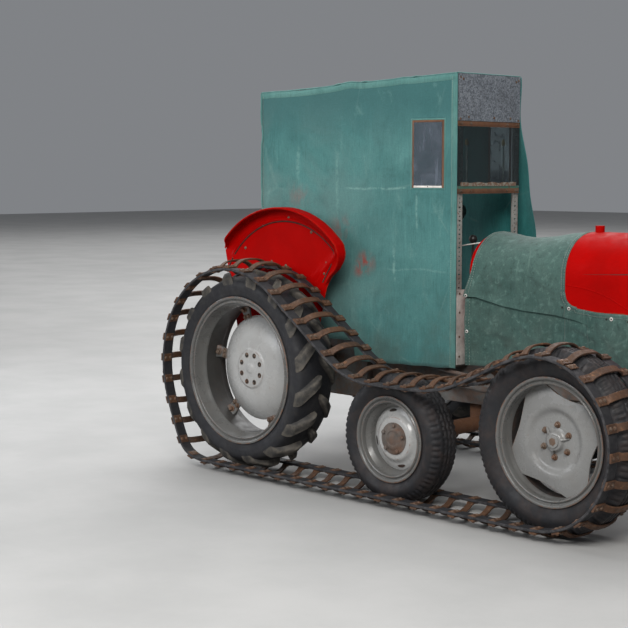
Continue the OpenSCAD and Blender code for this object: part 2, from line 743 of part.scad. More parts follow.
// bonnet: outline in Y and Z with round shoulders under a crowned top
module hood_outline(half, low, crest, corner, crown) intersection() {
  union() {
    translate([-half, low]) square([2 * half, crest - corner - low]);
    translate([corner - half, low]) square([2 * (half - corner), crest - low]);
    for (e = [-1, 1]) translate([e * (half - corner), crest - corner]) circle(corner);
  }
  translate([0, crest - crown]) circle(crown);
}
// a sheet of that outline, grown outward over the bonnet's own size
module grown_outline(grow, low)
  hood_outline(bonnet_half + grow, low, bonnet_crest + grow, bonnet_corner + grow, bonnet_crown + grow);
module hood(from, to, grow, low, thick) drawn_x(from, to) difference() {
  grown_outline(grow, low);
  grown_outline(grow - thick, low - overrun);
}
module bonnet() color(red) place() difference() {
  hood(bonnet_rear, nose_rear, 0, bonnet_low, panel_thick);
  translate([cap_x, 0, bonnet_crest - bonnet_corner])
    cylinder(h = bonnet_corner + overrun, r = cap_r + seat_gap);
}
// the nose is the bonnet's outline, rounded in plan and in side view: a quarter round in flat steps, from its
// upper end to its forward end, run on past both
nose_steps = [70, 45, 20];
function round_at(c, r, a) = c + r * [cos(a), sin(a)];
function quarter(c, r) = let (
    up = round_at(c, r, 90) - round_at(c, r, max(nose_steps)),
    out = round_at(c, r, 0) - round_at(c, r, min(nose_steps)))
  concat([round_at(c, r, 90) + up * overrun / up[1]], [for (a = nose_steps) round_at(c, r, a)],
    [round_at(c, r, 0) + out * overrun / out[0]]);
module nose_form(inset, from) let (
    plan = quarter([nose_front - nose_plan_r, bonnet_half - nose_plan_r], nose_plan_r - inset),
    top = quarter([nose_front - nose_top_r, bonnet_crest - nose_top_r], nose_top_r - inset),
    back = from - overrun)
  intersection() {
    drawn_x(from, nose_front - inset) grown_outline(-inset, nose_low + inset);
    linear_extrude(bonnet_crest + overrun)
      polygon(concat([[back, plan[0][1]]], plan, mirrored(plan), [[back, -plan[0][1]]]));
    drawn_y(-bonnet_half - overrun, bonnet_half + overrun)
      polygon(concat([[back, 0], [back, top[0][1]]], top, [[top[len(top) - 1][0], 0]]));
  }
grille_low = nose_low + nose_floor;
module nose() color(red) place() difference() {
  nose_form(0, nose_rear);
  nose_form(panel_thick, nose_rear - overrun);
  block([nose_front - nose_plan_r, -grille_width / 2, grille_low],
    [nose_front + overrun, grille_width / 2, grille_low + grille_height]);
  block([nose_rear - overrun, -carrier_half - seat_gap, nose_low - overrun],
    [nose_rear + carrier_lap + seat_gap, carrier_half + seat_gap, nose_low + panel_thick + overrun]);
}
grille_step = grille_width / grille_bars;
grille_bar_share = 0.45;
grille_deep = 16;
module grille() color(grey) place() translate([nose_front - panel_thick - grille_deep - seat_gap, 0,
  grille_low]) {
  difference() {
    block([0, -grille_width / 2 - grille_step, -grille_step],
      [grille_deep, grille_width / 2 + grille_step, grille_height + grille_step]);
    for (k = [0 : grille_bars - 1]) translate([-overrun, (k + (1 - grille_bars) / 2) * grille_step, 0])
      block([0, -grille_step * (1 - grille_bar_share) / 2, 0],
        [grille_deep + 2 * overrun, grille_step * (1 - grille_bar_share) / 2, grille_height]);
  }
}
module filler_cap() color(red) place() translate([cap_x, 0, 0]) {
  translate([0, 0, engine_top]) cylinder(h = bonnet_crest + cap_stand - engine_top, r = cap_r);
}
module dash_panel() color(red) place() drawn_x(dash_x, dash_x + dash_thick)
  hood_outline(dash_half, gearbox_top, dash_crest, bonnet_corner, bonnet_crown);

// canvas over the engine
apron_grow = seat_gap + canvas_thick;
apron_half = bonnet_half + apron_grow;
apron_crest = bonnet_crest + apron_grow;
apron_rear = bonnet_rear - apron_lap;
module engine_apron() color(canvas) place() difference() {
  hood(apron_rear, apron_front + apron_lean, apron_grow, bonnet_low, canvas_thick);
  drawn_y(-apron_half - overrun, apron_half + overrun) polygon([
    [apron_front + apron_lean + overrun, apron_crest + overrun],
      [apron_front + apron_lean, apron_crest + overrun],
    [apron_front - apron_lean, bonnet_low + bonnet_corner],
      [apron_front - apron_lean, bonnet_low - overrun],
    [apron_front + apron_lean + overrun, bonnet_low - overrun]]);
}
module side_curtains() color(canvas) place() pair()
  block([apron_rear, -apron_half, curtain_low],
    [curtain_front, -apron_half + canvas_thick, bonnet_low - seat_gap]);

// cab: sheets in the slanted side plane, u runs back from the front edge
module side_plane() translate([cab_front, -cab_front_half, 0]) rotate([90, 0, 180 + cab_angle]) children();
module cab_side(right) color(canvas) place() on_side(right) side_plane() translate([0, 0, -canvas_thick])
  linear_extrude(canvas_thick) difference() {
    polygon([[0, side_low], [(cab_front - axle_notch_front) / cos(cab_angle), side_low],
      [(cab_front - axle_notch_front) / cos(cab_angle), side_low_rear], [side_length, side_low_rear],
      [side_length, cab_rear_top - canvas_thick - seat_gap], [0, cab_front_top - canvas_thick - seat_gap]]);
    translate([window_from_front, window_low]) square([window_width, window_height]);
  }
module cab_side_right() cab_side(true);
module cab_side_left() cab_side(false);
module cab_roof() color(canvas) place() intersection() {
  linear_extrude(cab_high + canvas_thick)
    polygon([[cab_front, -cab_front_half], [cab_front, cab_front_half],
    [-cab_back, cab_rear_half], [-cab_back, -cab_rear_half]]);
  drawn_y(-cab_rear_half, cab_rear_half)
    polygon([[cab_front, cab_front_top], [cab_front, cab_front_top - canvas_thick],
    [-cab_back, cab_rear_top - canvas_thick], [-cab_back, cab_rear_top]]);
}
// frame of slotted angle bars: a layer of the roof, by its depth under the roof's face
rail_top = canvas_thick + seat_gap;
rail_low = rail_top + angle_thick;
front_post_x = cab_front - canvas_thick;
rear_post_x = canvas_thick - cab_back;
post_inset = canvas_thick / cos(cab_angle) + post_gap;
front_post_y = cab_front_half - post_inset;
rear_post_y = cab_half(rear_post_x + angle_leg) - post_inset;
module roof_layer(upper, lower) let (a = -cab_back, b = front_post_x - seat_gap)
  drawn_y(-cab_rear_half, cab_rear_half) polygon([[a, cab_top(a) - lower], [b, cab_top(b) - lower],
    [b, cab_top(b) - upper], [a, cab_top(a) - upper]]);
// an upright angle bar with its corner at [x, y], one leg along X to dir_x, one leg inward
module post(x, y, low, dir_x) translate([x, y, low]) linear_extrude(cab_high - low) {
  translate([min(dir_x, 0) * angle_leg, 0]) square([angle_leg, angle_thick]);
  translate([min(dir_x, 0) * angle_thick, 0]) square([angle_thick, angle_leg]);
}
module cab_posts() color(zinc) place() pair() {
  intersection() {
    union() {
      post(front_post_x, -front_post_y, board_z + board_thick, -1);
      post(rear_post_x, -rear_post_y, fender_foot, 1);
    }
    drawn_y(-cab_rear_half, cab_rear_half) polygon([[-cab_back, 0], [cab_front, 0],
      [cab_front, cab_front_top - rail_low], [-cab_back, cab_rear_top - rail_low]]);
  }
  block([rear_post_x, seat_gap + panel_thick / 2 - fender_plane, fender_foot],
    [rear_post_x + angle_leg, angle_thick - rear_post_y, fender_foot + post_lug]);
}
module cab_rails() color(zinc) place() {
  pair() intersection() {
    translate([cab_front, -cab_front_half, 0]) rotate([0, 0, 180 + cab_angle])
      block([0, -canvas_thick - seat_gap - angle_leg, 0],
        [side_length, -canvas_thick - seat_gap, cab_high]);
    roof_layer(rail_top, rail_low);
  }
  // cross rails: [rear edge, half length]
  for (c = [[front_post_x - angle_thick - seat_gap - angle_leg, front_post_y - angle_thick - seat_gap],
      [rear_post_x + angle_thick + seat_gap, rear_post_y - angle_thick - seat_gap]])
    intersection() {
      block([c[0], -c[1], 0], [c[0] + angle_leg, c[1], cab_high]);
      roof_layer(rail_low, rail_low + angle_thick);
    }
}
module post_strips() color(zinc) place() pair()
  block([front_post_x + seat_gap, -front_post_y, strip_low],
    [front_post_x + seat_gap + strip_thick, strip_width - front_post_y, strip_low + strip_high]);

// windscreen and side windows
screen_half = front_post_y - seat_gap;
module head_panel() color(zinc) place()
  block([front_post_x, -screen_half, screen_top + seat_gap],
    [front_post_x + angle_thick, screen_half, cab_top(front_post_x) - rail_top]);
module windscreen_rails() color(rust) place() for (z = [screen_low, screen_top - screen_rail])
  block([front_post_x, -screen_half, z], [front_post_x + angle_thick, screen_half, z + screen_rail]);
module windscreen_glass() color([0.5, 0.6, 0.6, 0.4]) place()
  block([front_post_x - glass_thick - seat_gap, -screen_half + angle_leg, screen_low],
    [front_post_x - seat_gap, screen_half - angle_leg, screen_top]);
module window_frames() color(iron) place() pair() side_plane() translate([window_from_front, window_low,
  -canvas_thick])
  linear_extrude(canvas_thick + angle_thick) difference() {
    translate([seat_gap, seat_gap]) square([window_width - 2 * seat_gap, window_height - 2 * seat_gap]);
    translate([window_bar, window_bar])
      square([window_width - 2 * window_bar, window_height - 2 * window_bar]);
  }
module window_panes() color([0.5, 0.6, 0.6, 0.4]) place() pair() side_plane()
  translate([window_from_front + window_bar + seat_gap, window_low + window_bar + seat_gap, -canvas_thick])
    linear_extrude(glass_thick)
      square([window_width - 2 * (window_bar + seat_gap), window_height - 2 * (window_bar + seat_gap)]);

// fenders: a plate round the rear wheel with a flange turned outward
module fender_form(in) intersection() {
  translate([fender_x, fender_z]) circle(fender_r - in);
  polygon([[fender_front_x + fender_r - in, fender_front_z + fender_r], [fender_front_x - in, fender_front_z],
    [fender_front_low - in, fender_foot], [in - fender_rear_low, fender_foot],
    [in - fender_rear_x, fender_rear_z], [in - fender_rear_x - fender_r, fender_rear_z + fender_r]]);
}
module fender(right) color(red) place() on_side(right) {
  drawn_y(-fender_plane - panel_thick / 2, -fender_plane + panel_thick / 2) fender_form(0);
  // pressed rib along the edge
  drawn_y(-fender_plane - panel_thick / 2 - rib_high, -fender_plane) intersection() {
    difference() { fender_form(rib_in); fender_form(rib_in + rib_width); }
    translate([-fender_rear_x, rib_low]) square([fender_rear_x + fender_front_x, fender_r]);
  }
  drawn_y(-fender_plane - fender_flange, -fender_plane) intersection() {
    difference() { fender_form(0); translate([fender_x, fender_z]) circle(fender_r - panel_thick); }
    translate([-fender_rear_x, fender_rear_z - fender_flange])
      square([fender_rear_x + fender_front_x, fender_r]);
  }
}
module fender_right() fender(true);
module fender_left() fender(false);

// seat, steering and controls
module steer_frame() translate([column_foot, 0, gearbox_top]) rotate([0, -steer_rake, 0]) children();
module steering_column() color(iron) place() difference() {
  steer_frame() translate([0, 0, -2 * column_r]) cylinder(h = column_length + 2 * column_r, r = column_r);
  block([column_foot - column_length, -gearbox_half, gearbox_low],
    [engine_rear, gearbox_half, gearbox_top]);
}
module steering_wheel() color(rubber) place() steer_frame() translate([0, 0, column_length + seat_gap]) {
  translate([0, 0, steer_hub_high / 2])
    rotate_extrude() translate([steer_wheel_r - steer_rim_r, 0]) circle(steer_rim_r);
  cylinder(h = steer_hub_high, r = steer_hub_r);
  for (k = [0 : 2]) rotate([0, 0, 120 * k]) translate([0, 0, steer_hub_high / 2]) rotate([0, 90, 0])
    cylinder(h = steer_wheel_r - steer_rim_r, r = spoke_r);
}
module control_levers() color(iron) place() for (l = lever_rows)
  translate([l[0], l[1], gearbox_top]) difference() {
    rotate([0, -l[3], 0]) union() {
      translate([0, 0, -lever_r]) cylinder(h = l[2] + lever_r, r = lever_r);
      translate([0, 0, l[2]]) sphere(knob_r);
    }
    block([-knob_r, -knob_r, -4 * lever_r], [knob_r, knob_r, 0]);
  }
module seat() color(grey) place() translate([-seat_back, 0, 0]) {
  translate([0, 0, seat_z]) rotate_extrude() polygon([[0, 0], [seat_r - seat_deep, 0], [seat_r, seat_deep],
    [seat_r - seat_thick, seat_deep], [seat_r - seat_deep - seat_thick, seat_thick], [0, seat_thick]]);
  block([-seat_stem_half, -seat_stem_half, housing_top + lift_cover_high],
    [seat_stem_half, seat_stem_half, seat_z + seat_thick / 2]);
}
module footboards() color(red) place() pair() translate([0, 0, board_z]) linear_extrude(board_thick)
  polygon([[board_rear, -gearbox_half], [front_post_x, -gearbox_half],
    [front_post_x, post_inset - cab_half(front_post_x)], [board_rear, post_inset - cab_half(board_rear)]]);

// hitch
module drawbar() color(iron) place() difference() {
  union() {
    block([-drawbar_eye_back, -drawbar_width / 2, housing_low - drawbar_thick],
      [-housing_back + drawbar_lap, drawbar_width / 2, housing_low]);
    translate([-drawbar_eye_back, 0, housing_low - drawbar_thick])
      cylinder(h = drawbar_thick, r = drawbar_width / 2);
  }
  translate([-drawbar_eye_back, 0, housing_low - drawbar_thick - overrun])
    cylinder(h = drawbar_thick + 2 * overrun, r = drawbar_hole_r);
}
module pto_shaft() color(iron) place() translate([-housing_back - pto_length, 0, pto_z]) rotate([0, 90, 0])
  cylinder(h = pto_length, r = pto_r);
module top_link_bracket() color(iron) place() difference() {
  for (e = [-1, 1]) block([-housing_back - bracket_out, e * bracket_half - bracket_thick / 2, bracket_z],
    [-housing_back, e * bracket_half + bracket_thick / 2, bracket_z + bracket_high]);
  translate([-housing_back - bracket_out + bracket_high / 2, 0, bracket_z + bracket_high / 2])
    rotate([90, 0, 0])
    cylinder(h = 4 * bracket_half, r = top_link_r, center = true);
}

track_belts_right();
track_belts_left();
track_cleats_right();
track_cleats_left();
wheel_rear_right();
wheel_rear_left();
wheel_mid_right();
wheel_mid_left();
wheel_front_right();
wheel_front_left();
tyre_rear_right();
tyre_rear_left();
tyre_mid_right();
tyre_mid_left();
tyre_front_right();
tyre_front_left();
engine_block();
transmission_housing();
idler_axle();
front_axle_beam();
knuckle_right();
knuckle_left();
radius_rods();
drag_links();
bonnet();
nose();
grille();
filler_cap();
dash_panel();
steering_column();
steering_wheel();
control_levers();
seat();
footboards();
fender_right();
fender_left();
cab_posts();
cab_rails();
cab_roof();
cab_side_right();
cab_side_left();
head_panel();
windscreen_rails();
windscreen_glass();
window_frames();
window_panes();
post_strips();
engine_apron();
side_curtains();
drawbar();
pto_shaft();
top_link_bracket();
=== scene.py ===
"""Looks of the farm tractor on belt-and-cleat tracks: canvas cab and apron, red bonnet, grey wheels.

Lengths in the tables are millimetres, X forward from the rear axle, Y to the left, Z up from the ground.
at() turns them into the part's frame. Each make_ function builds one piece or a pair of them.
"""

import math
import random

import bpy
import numpy as np
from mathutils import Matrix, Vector, noise


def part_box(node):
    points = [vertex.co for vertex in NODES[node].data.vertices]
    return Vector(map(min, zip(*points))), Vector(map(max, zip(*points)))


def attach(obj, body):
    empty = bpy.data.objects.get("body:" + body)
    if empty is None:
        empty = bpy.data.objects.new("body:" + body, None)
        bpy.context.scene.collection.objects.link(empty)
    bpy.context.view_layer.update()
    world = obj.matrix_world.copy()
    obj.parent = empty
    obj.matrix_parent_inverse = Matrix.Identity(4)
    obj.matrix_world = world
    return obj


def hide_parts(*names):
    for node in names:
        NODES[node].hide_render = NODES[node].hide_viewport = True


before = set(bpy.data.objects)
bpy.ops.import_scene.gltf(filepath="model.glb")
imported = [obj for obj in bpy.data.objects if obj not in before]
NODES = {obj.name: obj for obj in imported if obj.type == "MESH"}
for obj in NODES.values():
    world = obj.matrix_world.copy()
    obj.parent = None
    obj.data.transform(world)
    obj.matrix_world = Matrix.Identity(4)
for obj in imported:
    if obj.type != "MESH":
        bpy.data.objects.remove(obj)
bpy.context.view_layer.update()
scene = bpy.context.scene

# the part's own sizes
X_MID = 806.129
WHEEL_Y = 635.0
REAR_Z, MID_Z, FRONT_Z = 500.6, 288.0, 383.5
MID_X, WHEELBASE = 940.0, 1778.0
BELT_WIDTH, BELT_THICK, BELT_INSET = 55.0, 12.0, 97.0
CLEAT_THICK, CLEAT_WIDTH, ARCH_RISE, CLEAT_PITCH = 8.0, 36.0, 32.0, 104.0
CAB_FRONT, CAB_BACK, CAB_FRONT_HALF, CAB_REAR_HALF = 903.0, 150.0, 226.0, 450.0
CAB_FRONT_TOP, CAB_REAR_TOP = 1874.0, 1815.0
BONNET_HALF, BONNET_LOW, BONNET_CREST = 205.0, 850.0, 1172.0
BONNET_RISE, SWAGE_REAR = 186.0, 1470.0
BONNET_REAR, NOSE_REAR, NOSE_FRONT, NOSE_FACE, NOSE_LOW = 1010.0, 1850.0, 2030.0, 2029.6, 560.0
APRON_REAR, APRON_FRONT, CURTAIN_LOW, CURTAIN_FRONT = 985.0, 1490.0, 570.0, 1840.0
FENDER_PLANE, FENDER_R, FENDER_X, FENDER_Z, FENDER_FOOT = 462.0, 545.0, 38.0, 720.0, 604.6
# the cab's side window, as distances back from the cab's front edge and heights
WINDOW_FRONT, WINDOW_BACK, WINDOW_LOW, WINDOW_HIGH = 66.0, 231.0, 1360.0, 1665.0
# lower edges of a cab side, in front of its notch over the track and behind it
CAB_NOTCH, SIDE_LOW, SIDE_LOW_REAR = 380.0, 546.0, 641.0
SIDES = ((-1, "right"), (1, "left"))


def at(x, y, z):
    """A place in the tractor's millimetres as a point of the part's frame."""
    return ((x - X_MID) * 0.001, y * 0.001, z * 0.001)


# camera
yaw, pitch = math.radians(45.7), math.radians(5.44)
back = Vector((math.sin(yaw) * math.cos(pitch), -math.cos(yaw) * math.cos(pitch), math.sin(pitch)))
camera = bpy.data.objects.new("camera", bpy.data.cameras.new("camera"))
scene.collection.objects.link(camera)
camera.location = at(5215, -5326, 1428)
camera.rotation_mode = "QUATERNION"
camera.rotation_quaternion = (-back).to_track_quat("-Z", "Y")
camera.data.lens, camera.data.sensor_width = 85.0, 36.0
camera.data.clip_start, camera.data.clip_end = 0.1, 100.0
scene.camera = camera


# materials
class Graph:
    """A material's node tree, built from short calls that return sockets."""

    def __init__(self, name):
        self.material = bpy.data.materials.new(name)
        self.material.use_nodes = True
        self.tree = self.material.node_tree
        self.tree.nodes.clear()
        self.out = self.tree.nodes.new("ShaderNodeOutputMaterial")
        self.shader = self.tree.nodes.new("ShaderNodeBsdfPrincipled")
        self.tree.links.new(self.shader.outputs[0], self.out.inputs["Surface"])
        self.place = self.tree.nodes.new("ShaderNodeTexCoord").outputs["Object"]

    def put(self, socket, value):
        if isinstance(value, bpy.types.NodeSocket):
            self.tree.links.new(value, socket)
        elif isinstance(value, (tuple, list)) and len(value) == 3 and socket.type == "RGBA":
            socket.default_value = (*value, 1.0)
        else:
            socket.default_value = value

    def set(self, **values):
        for key, value in values.items():
            self.put(self.shader.inputs[key.replace("_", " ")], value)

    def node(self, kind, **inputs):
        n = self.tree.nodes.new("ShaderNode" + kind)
        for key, value in inputs.items():
            self.put(n.inputs[key.replace("_", " ")], value)
        return n

    def scaled(self, stretch=(1, 1, 1), turn=(0, 0, 0)):
        scale = tuple(float(s) for s in stretch)
        return self.node("Mapping", Vector=self.place, Scale=scale, Rotation=turn).outputs[0]

    def noise(self, scale, detail=4.0, rough=0.55, distort=0.0, stretch=(1, 1, 1), turn=(0, 0, 0)):
        return self.node("TexNoise", Vector=self.scaled(stretch, turn), Scale=scale, Detail=detail,
                         Roughness=rough, Distortion=distort).outputs["Fac"]

    def cells(self, scale, feature="F1", stretch=(1, 1, 1), out="Distance"):
        n = self.node("TexVoronoi", Vector=self.scaled(stretch), Scale=scale)
        n.feature = feature
        return n.outputs[out]

    def wave(self, scale, axis):
        n = self.node("TexWave", Vector=self.scaled(), Scale=scale)
        n.bands_direction = axis
        return n.outputs["Fac"]

    def parts(self, vector):
        return self.node("SeparateXYZ", Vector=vector).outputs

    def axis(self, name):
        return self.parts(self.place)[name]

    def attribute(self, name):
        n = self.node("Attribute")
        n.attribute_name = name
        return n.outputs["Fac"]

    def step(self, value, low, high, a=0.0, b=1.0):
        """A soft step from a to b while the value goes from low to high."""
        n = self.node("MapRange", Value=value, From_Min=low, From_Max=high, To_Min=a, To_Max=b)
        n.interpolation_type, n.clamp = "SMOOTHSTEP", True
        return n.outputs[0]

    def math(self, kind, a, b=0.5, c=None):
        n = self.node("Math")
        n.operation = kind
        for socket, value in zip(n.inputs, (a, b, c)):
            if value is not None:
                self.put(socket, value)
        return n.outputs[0]

    def times(self, a, b):
        return self.math("MULTIPLY", a, b)

    def mix(self, fac, a, b):
        n = self.node("Mix")
        n.data_type = "RGBA"
        for socket, value in ((0, fac), (6, a), (7, b)):
            self.put(n.inputs[socket], value)
        return n.outputs[2]

    def stain(self, colour, pattern, low, high, amount, over):
        """A colour with another laid over it where a pattern steps from low to high."""
        return self.mix(self.step(pattern, low, high, 0.0, amount), colour, over)

    def spot(self, point, radius):
        """1 at a point of the frame, fading to 0 at a radius about it."""
        n = self.node("VectorMath")
        n.operation = "DISTANCE"
        self.put(n.inputs[0], self.place)
        self.put(n.inputs[1], point)
        return self.step(n.outputs["Value"], 0.0, radius, 1.0, 0.0)

    def bump(self, height, strength, distance=0.002, under=None):
        n = self.node("Bump", Strength=strength, Distance=distance, Height=height)
        if under is not None:
            self.put(n.inputs["Normal"], under)
        return n.outputs[0]


def tint(colour, times, plus=0.0):
    return tuple(min(1.0, c * times + plus) for c in colour)


RUST_DARK, RUST_LIGHT, WORN_CANVAS = (0.085, 0.036, 0.018), (0.20, 0.085, 0.04), (0.30, 0.42, 0.37)


def canvas_material(name, base, faded, dark, streaks, smudges=(), mottle=0.0, folds=()):
    """Weathered canvas: fading, streaks, fold lines, rubbed smudges, grime towards the ground, weave."""
    g = Graph(name)
    broad = g.noise(2.1, 5, 0.6, 0.6)
    colour = g.mix(g.step(broad, 0.36, 0.68), base, faded)
    blotch = g.noise(9.0, 6, 0.62, 0.4)
    colour = g.stain(colour, blotch, 0.52, 0.74, 0.55, dark)
    stretch = {"side": (7.0, 7.0, 0.8), "top": (1.2, 6.0, 6.0)}[streaks]
    streak = g.noise(3.4, 6, 0.7, 0.2, stretch)
    colour = g.stain(colour, streak, 0.5, 0.78, 0.34, tint(faded, 1.5, 0.02))
    scratch = g.noise(5.0, 3, 0.5, 0.5, (9.0, 9.0, 0.6), (0.0, 0.04, 0.0))
    colour = g.stain(colour, scratch, 0.70, 0.78, 0.4, WORN_CANVAS)
    fibre = g.noise(42.0, 4, 0.65, 0.1, (5.0, 5.0, 0.45))
    colour = g.stain(colour, fibre, 0.50, 0.72, 0.26, tint(base, 1.7, 0.015))
    colour = g.stain(colour, fibre, 0.48, 0.30, 0.24, tint(dark, 0.6))
    if folds:
        pale = g.times(g.step(g.axis("X"), 0.05, -0.85, 0.0, 0.55),
                       g.step(g.noise(3.0, 4, 0.6, 0.5), 0.34, 0.62))
        colour = g.mix(pale, colour, (0.120, 0.196, 0.186))
        # darker towards the top of the cab's sides: painted shade under the roof's edge
        colour = g.stain(colour, g.axis("Z"), 1.48, 1.78, 0.8, (0.029, 0.106, 0.109))
        smear = g.noise(15.0, 5, 0.7, 0.6, (1.0, 1.0, 0.45))
        colour = g.stain(colour, smear, 0.56, 0.74, 0.4, (0.135, 0.27, 0.25))
    for across, place, width, along, low, high, strength in folds:
        drift = g.math("MULTIPLY_ADD", g.noise(7.0, 3, 0.5), 0.03, g.axis(across))
        off = g.math("ABSOLUTE", g.math("SUBTRACT", drift, place + 0.015))
        line = g.times(g.step(off, 0.0, width, strength, 0.0), g.step(g.axis(along), low, low + 0.05))
        line = g.times(line, g.step(g.axis(along), high, high - 0.05))
        line = g.times(line, g.step(g.noise(50.0, 4, 0.65), 0.34, 0.6))
        colour = g.mix(line, colour, (0.24, 0.42, 0.38))
    if mottle:
        patch = g.noise(34.0, 6, 0.68, 0.5)
        colour = g.stain(colour, patch, 0.52, 0.68, mottle, tint(faded, 1.5, 0.02))
        colour = g.stain(colour, patch, 0.46, 0.30, mottle, tint(dark, 0.7))
    crease = g.cells(2.6, "DISTANCE_TO_EDGE", (1.0, 1.0, 0.6))
    worn = g.times(g.step(crease, 0.0, 0.012, 1.0, 0.0), g.step(g.noise(4.0, 2), 0.46, 0.62))
    colour = g.mix(g.times(worn, 0.1), colour, WORN_CANVAS)
    grime = g.times(g.step(g.axis("Z"), 0.5, 1.12, 1.0, 0.0), g.step(g.noise(6.0, 5), 0.35, 0.7))
    colour = g.mix(g.times(grime, 0.55), colour, (0.055, 0.075, 0.062))
    for point, radius, strength in smudges:
        rub = g.times(g.spot(point, radius), g.step(g.noise(26.0, 5, 0.7, 0.6, (1.0, 1.0, 0.5)), 0.38, 0.66))
        colour = g.mix(g.times(rub, strength), colour, (0.33, 0.035, 0.02))
    warp, weft = g.wave(420.0, "Z"), g.wave(420.0, "X")
    weave = g.math("ADD", warp, weft)
    fine = g.noise(160.0, 3)
    colour = g.stain(colour, fine, 0.3, 0.7, 0.16, tint(dark, 0.5))
    rub = g.bump(weave, 0.16, 0.0006)
    rub = g.bump(fine, 0.22, 0.001, rub)
    rub = g.bump(g.noise(16.0, 5, 0.6, 0.8), 0.2, 0.008, rub)
    rub = g.bump(crease, 0.12, 0.01, rub)
    g.set(Base_Color=colour, Roughness=g.step(broad, 0.2, 0.8, 0.82, 0.95), Normal=rub)
    g.set(Sheen_Weight=0.12, Sheen_Roughness=0.6, Specular_IOR_Level=0.25)
    return g.material


def paint_material(name, base, deep, dust, rust_level=0.66, gloss=0.33, dust_amount=0.35, scale=1.0,
                   shine=0.5):
    """Old paint under dust, chipped to rust in spots and along the marked edges."""
    g = Graph(name)
    broad = g.noise(3.2 * scale, 5, 0.6, 0.4)
    colour = g.mix(g.step(broad, 0.3, 0.7), base, deep)
    film = g.times(g.step(g.noise(11.0 * scale, 6, 0.68, 0.5), 0.46, 0.76), dust_amount)
    colour = g.mix(film, colour, dust)
    chip = g.step(g.noise(46.0 * scale, 6, 0.66), rust_level, rust_level + 0.045)
    edge = g.step(g.attribute("edge"), 0.5, 1.0)
    edge = g.times(edge, g.step(g.noise(30.0 * scale, 5, 0.7), 0.44, 0.6))
    bare = g.math("MAXIMUM", chip, edge)
    rust = g.mix(g.noise(70.0, 4), RUST_DARK, RUST_LIGHT)
    colour = g.mix(g.times(bare, 0.8), colour, rust)
    rough = g.step(g.noise(18.0 * scale, 5, 0.6), 0.3, 0.75, gloss, gloss + 0.26)
    rough = g.math("ADD", rough, g.times(bare, 0.35))
    rub = g.bump(g.noise(9.0 * scale, 3, 0.5), 0.09, 0.006)
    rub = g.bump(g.noise(240.0, 3), 0.08, 0.0006, rub)
    rub = g.bump(bare, 0.25, 0.0008, rub)
    g.set(Base_Color=colour, Roughness=rough, Normal=rub, Specular_IOR_Level=shine)
    return g.material


def iron_material(name, base, rust_amount, metal=0.0, rough=0.68):
    """Cast or rolled metal with rust and grime."""
    g = Graph(name)
    colour = g.mix(g.step(g.noise(6.0, 6, 0.65, 0.4), 0.32, 0.68), base, tint(base, 0.5))
    rust = g.mix(g.noise(60.0, 5, 0.7), (0.07, 0.03, 0.016), (0.23, 0.10, 0.045))
    amount = g.times(g.step(g.noise(12.0, 7, 0.7, 0.5), 0.40, 0.64), rust_amount)
    colour = g.mix(amount, colour, rust)
    grime = g.step(g.noise(20.0, 5, 0.6), 0.55, 0.8, 0.0, 0.6)
    colour = g.mix(grime, colour, (0.03, 0.027, 0.024))
    rub = g.bump(g.noise(130.0, 5, 0.65), 0.35, 0.0012)
    rub = g.bump(g.noise(24.0, 4), 0.15, 0.004, rub)
    g.set(Base_Color=colour, Roughness=g.step(g.noise(35.0, 4), 0.3, 0.7, rough - 0.12, rough + 0.18),
          Normal=rub)
    g.set(Metallic=metal)
    return g.material


def rust_material():
    """Rusty steel of the cleats, a little different on each."""
    g = Graph("cleat_steel_rust")
    tone = g.attribute("tone")
    colour = g.mix(g.step(g.noise(14.0, 6, 0.66, 0.3), 0.3, 0.7), (0.055, 0.025, 0.012),
                   (0.105, 0.048, 0.022))
    colour = g.stain(colour, tone, 0.0, 1.0, 0.5, (0.045, 0.025, 0.016))
    bright = g.step(g.noise(60.0, 5, 0.7), 0.54, 0.72, 0.0, 0.65)
    colour = g.mix(bright, colour, (0.23, 0.105, 0.045))
    pit = g.step(g.noise(150.0, 4, 0.6), 0.56, 0.7, 0.0, 0.75)
    colour = g.mix(pit, colour, (0.035, 0.02, 0.015))
    dust = g.step(g.noise(8.0, 4), 0.55, 0.8, 0.0, 0.25)
    colour = g.mix(dust, colour, (0.13, 0.105, 0.085))
    rub = g.bump(g.noise(190.0, 5, 0.7), 0.5, 0.0012)
    rub = g.bump(g.noise(38.0, 4), 0.25, 0.002, rub)
    g.set(Base_Color=colour, Roughness=g.step(g.noise(50.0, 4), 0.3, 0.7, 0.5, 0.85), Normal=rub,
          Metallic=0.15)
    return g.material


def rubber_material(name, base, dusty, dust_amount, rough=0.62, crack=0.3):
    """Perished rubber with dust on its marked edges."""
    g = Graph(name)
    broad = g.noise(5.0, 6, 0.62, 0.4)
    colour = g.mix(g.step(broad, 0.3, 0.72), base, tint(base, 1.45))
    film = g.times(g.step(g.noise(13.0, 7, 0.68, 0.7), 0.40, 0.74), dust_amount)
    colour = g.mix(film, colour, dusty)
    edge = g.times(g.step(g.attribute("edge"), 0.35, 1.0), g.step(g.noise(40.0, 5, 0.7), 0.34, 0.66))
    colour = g.mix(g.times(edge, 0.7), colour, tint(dusty, 1.3))
    fleck = g.step(g.noise(120.0, 4, 0.7), 0.66, 0.76, 0.0, 0.4)
    colour = g.mix(fleck, colour, tint(dusty, 0.8))
    rub = g.bump(g.noise(90.0, 5, 0.65), 0.3, 0.0012)
    rub = g.bump(g.cells(120.0, "DISTANCE_TO_EDGE"), crack * 0.5, 0.0006, rub)
    rub = g.bump(g.noise(12.0, 4), 0.15, 0.004, rub)
    g.set(Base_Color=colour, Roughness=g.step(g.noise(22.0, 5), 0.3, 0.7, rough - 0.08, rough + 0.2),
          Normal=rub)
    g.set(Specular_IOR_Level=0.4)
    return g.material


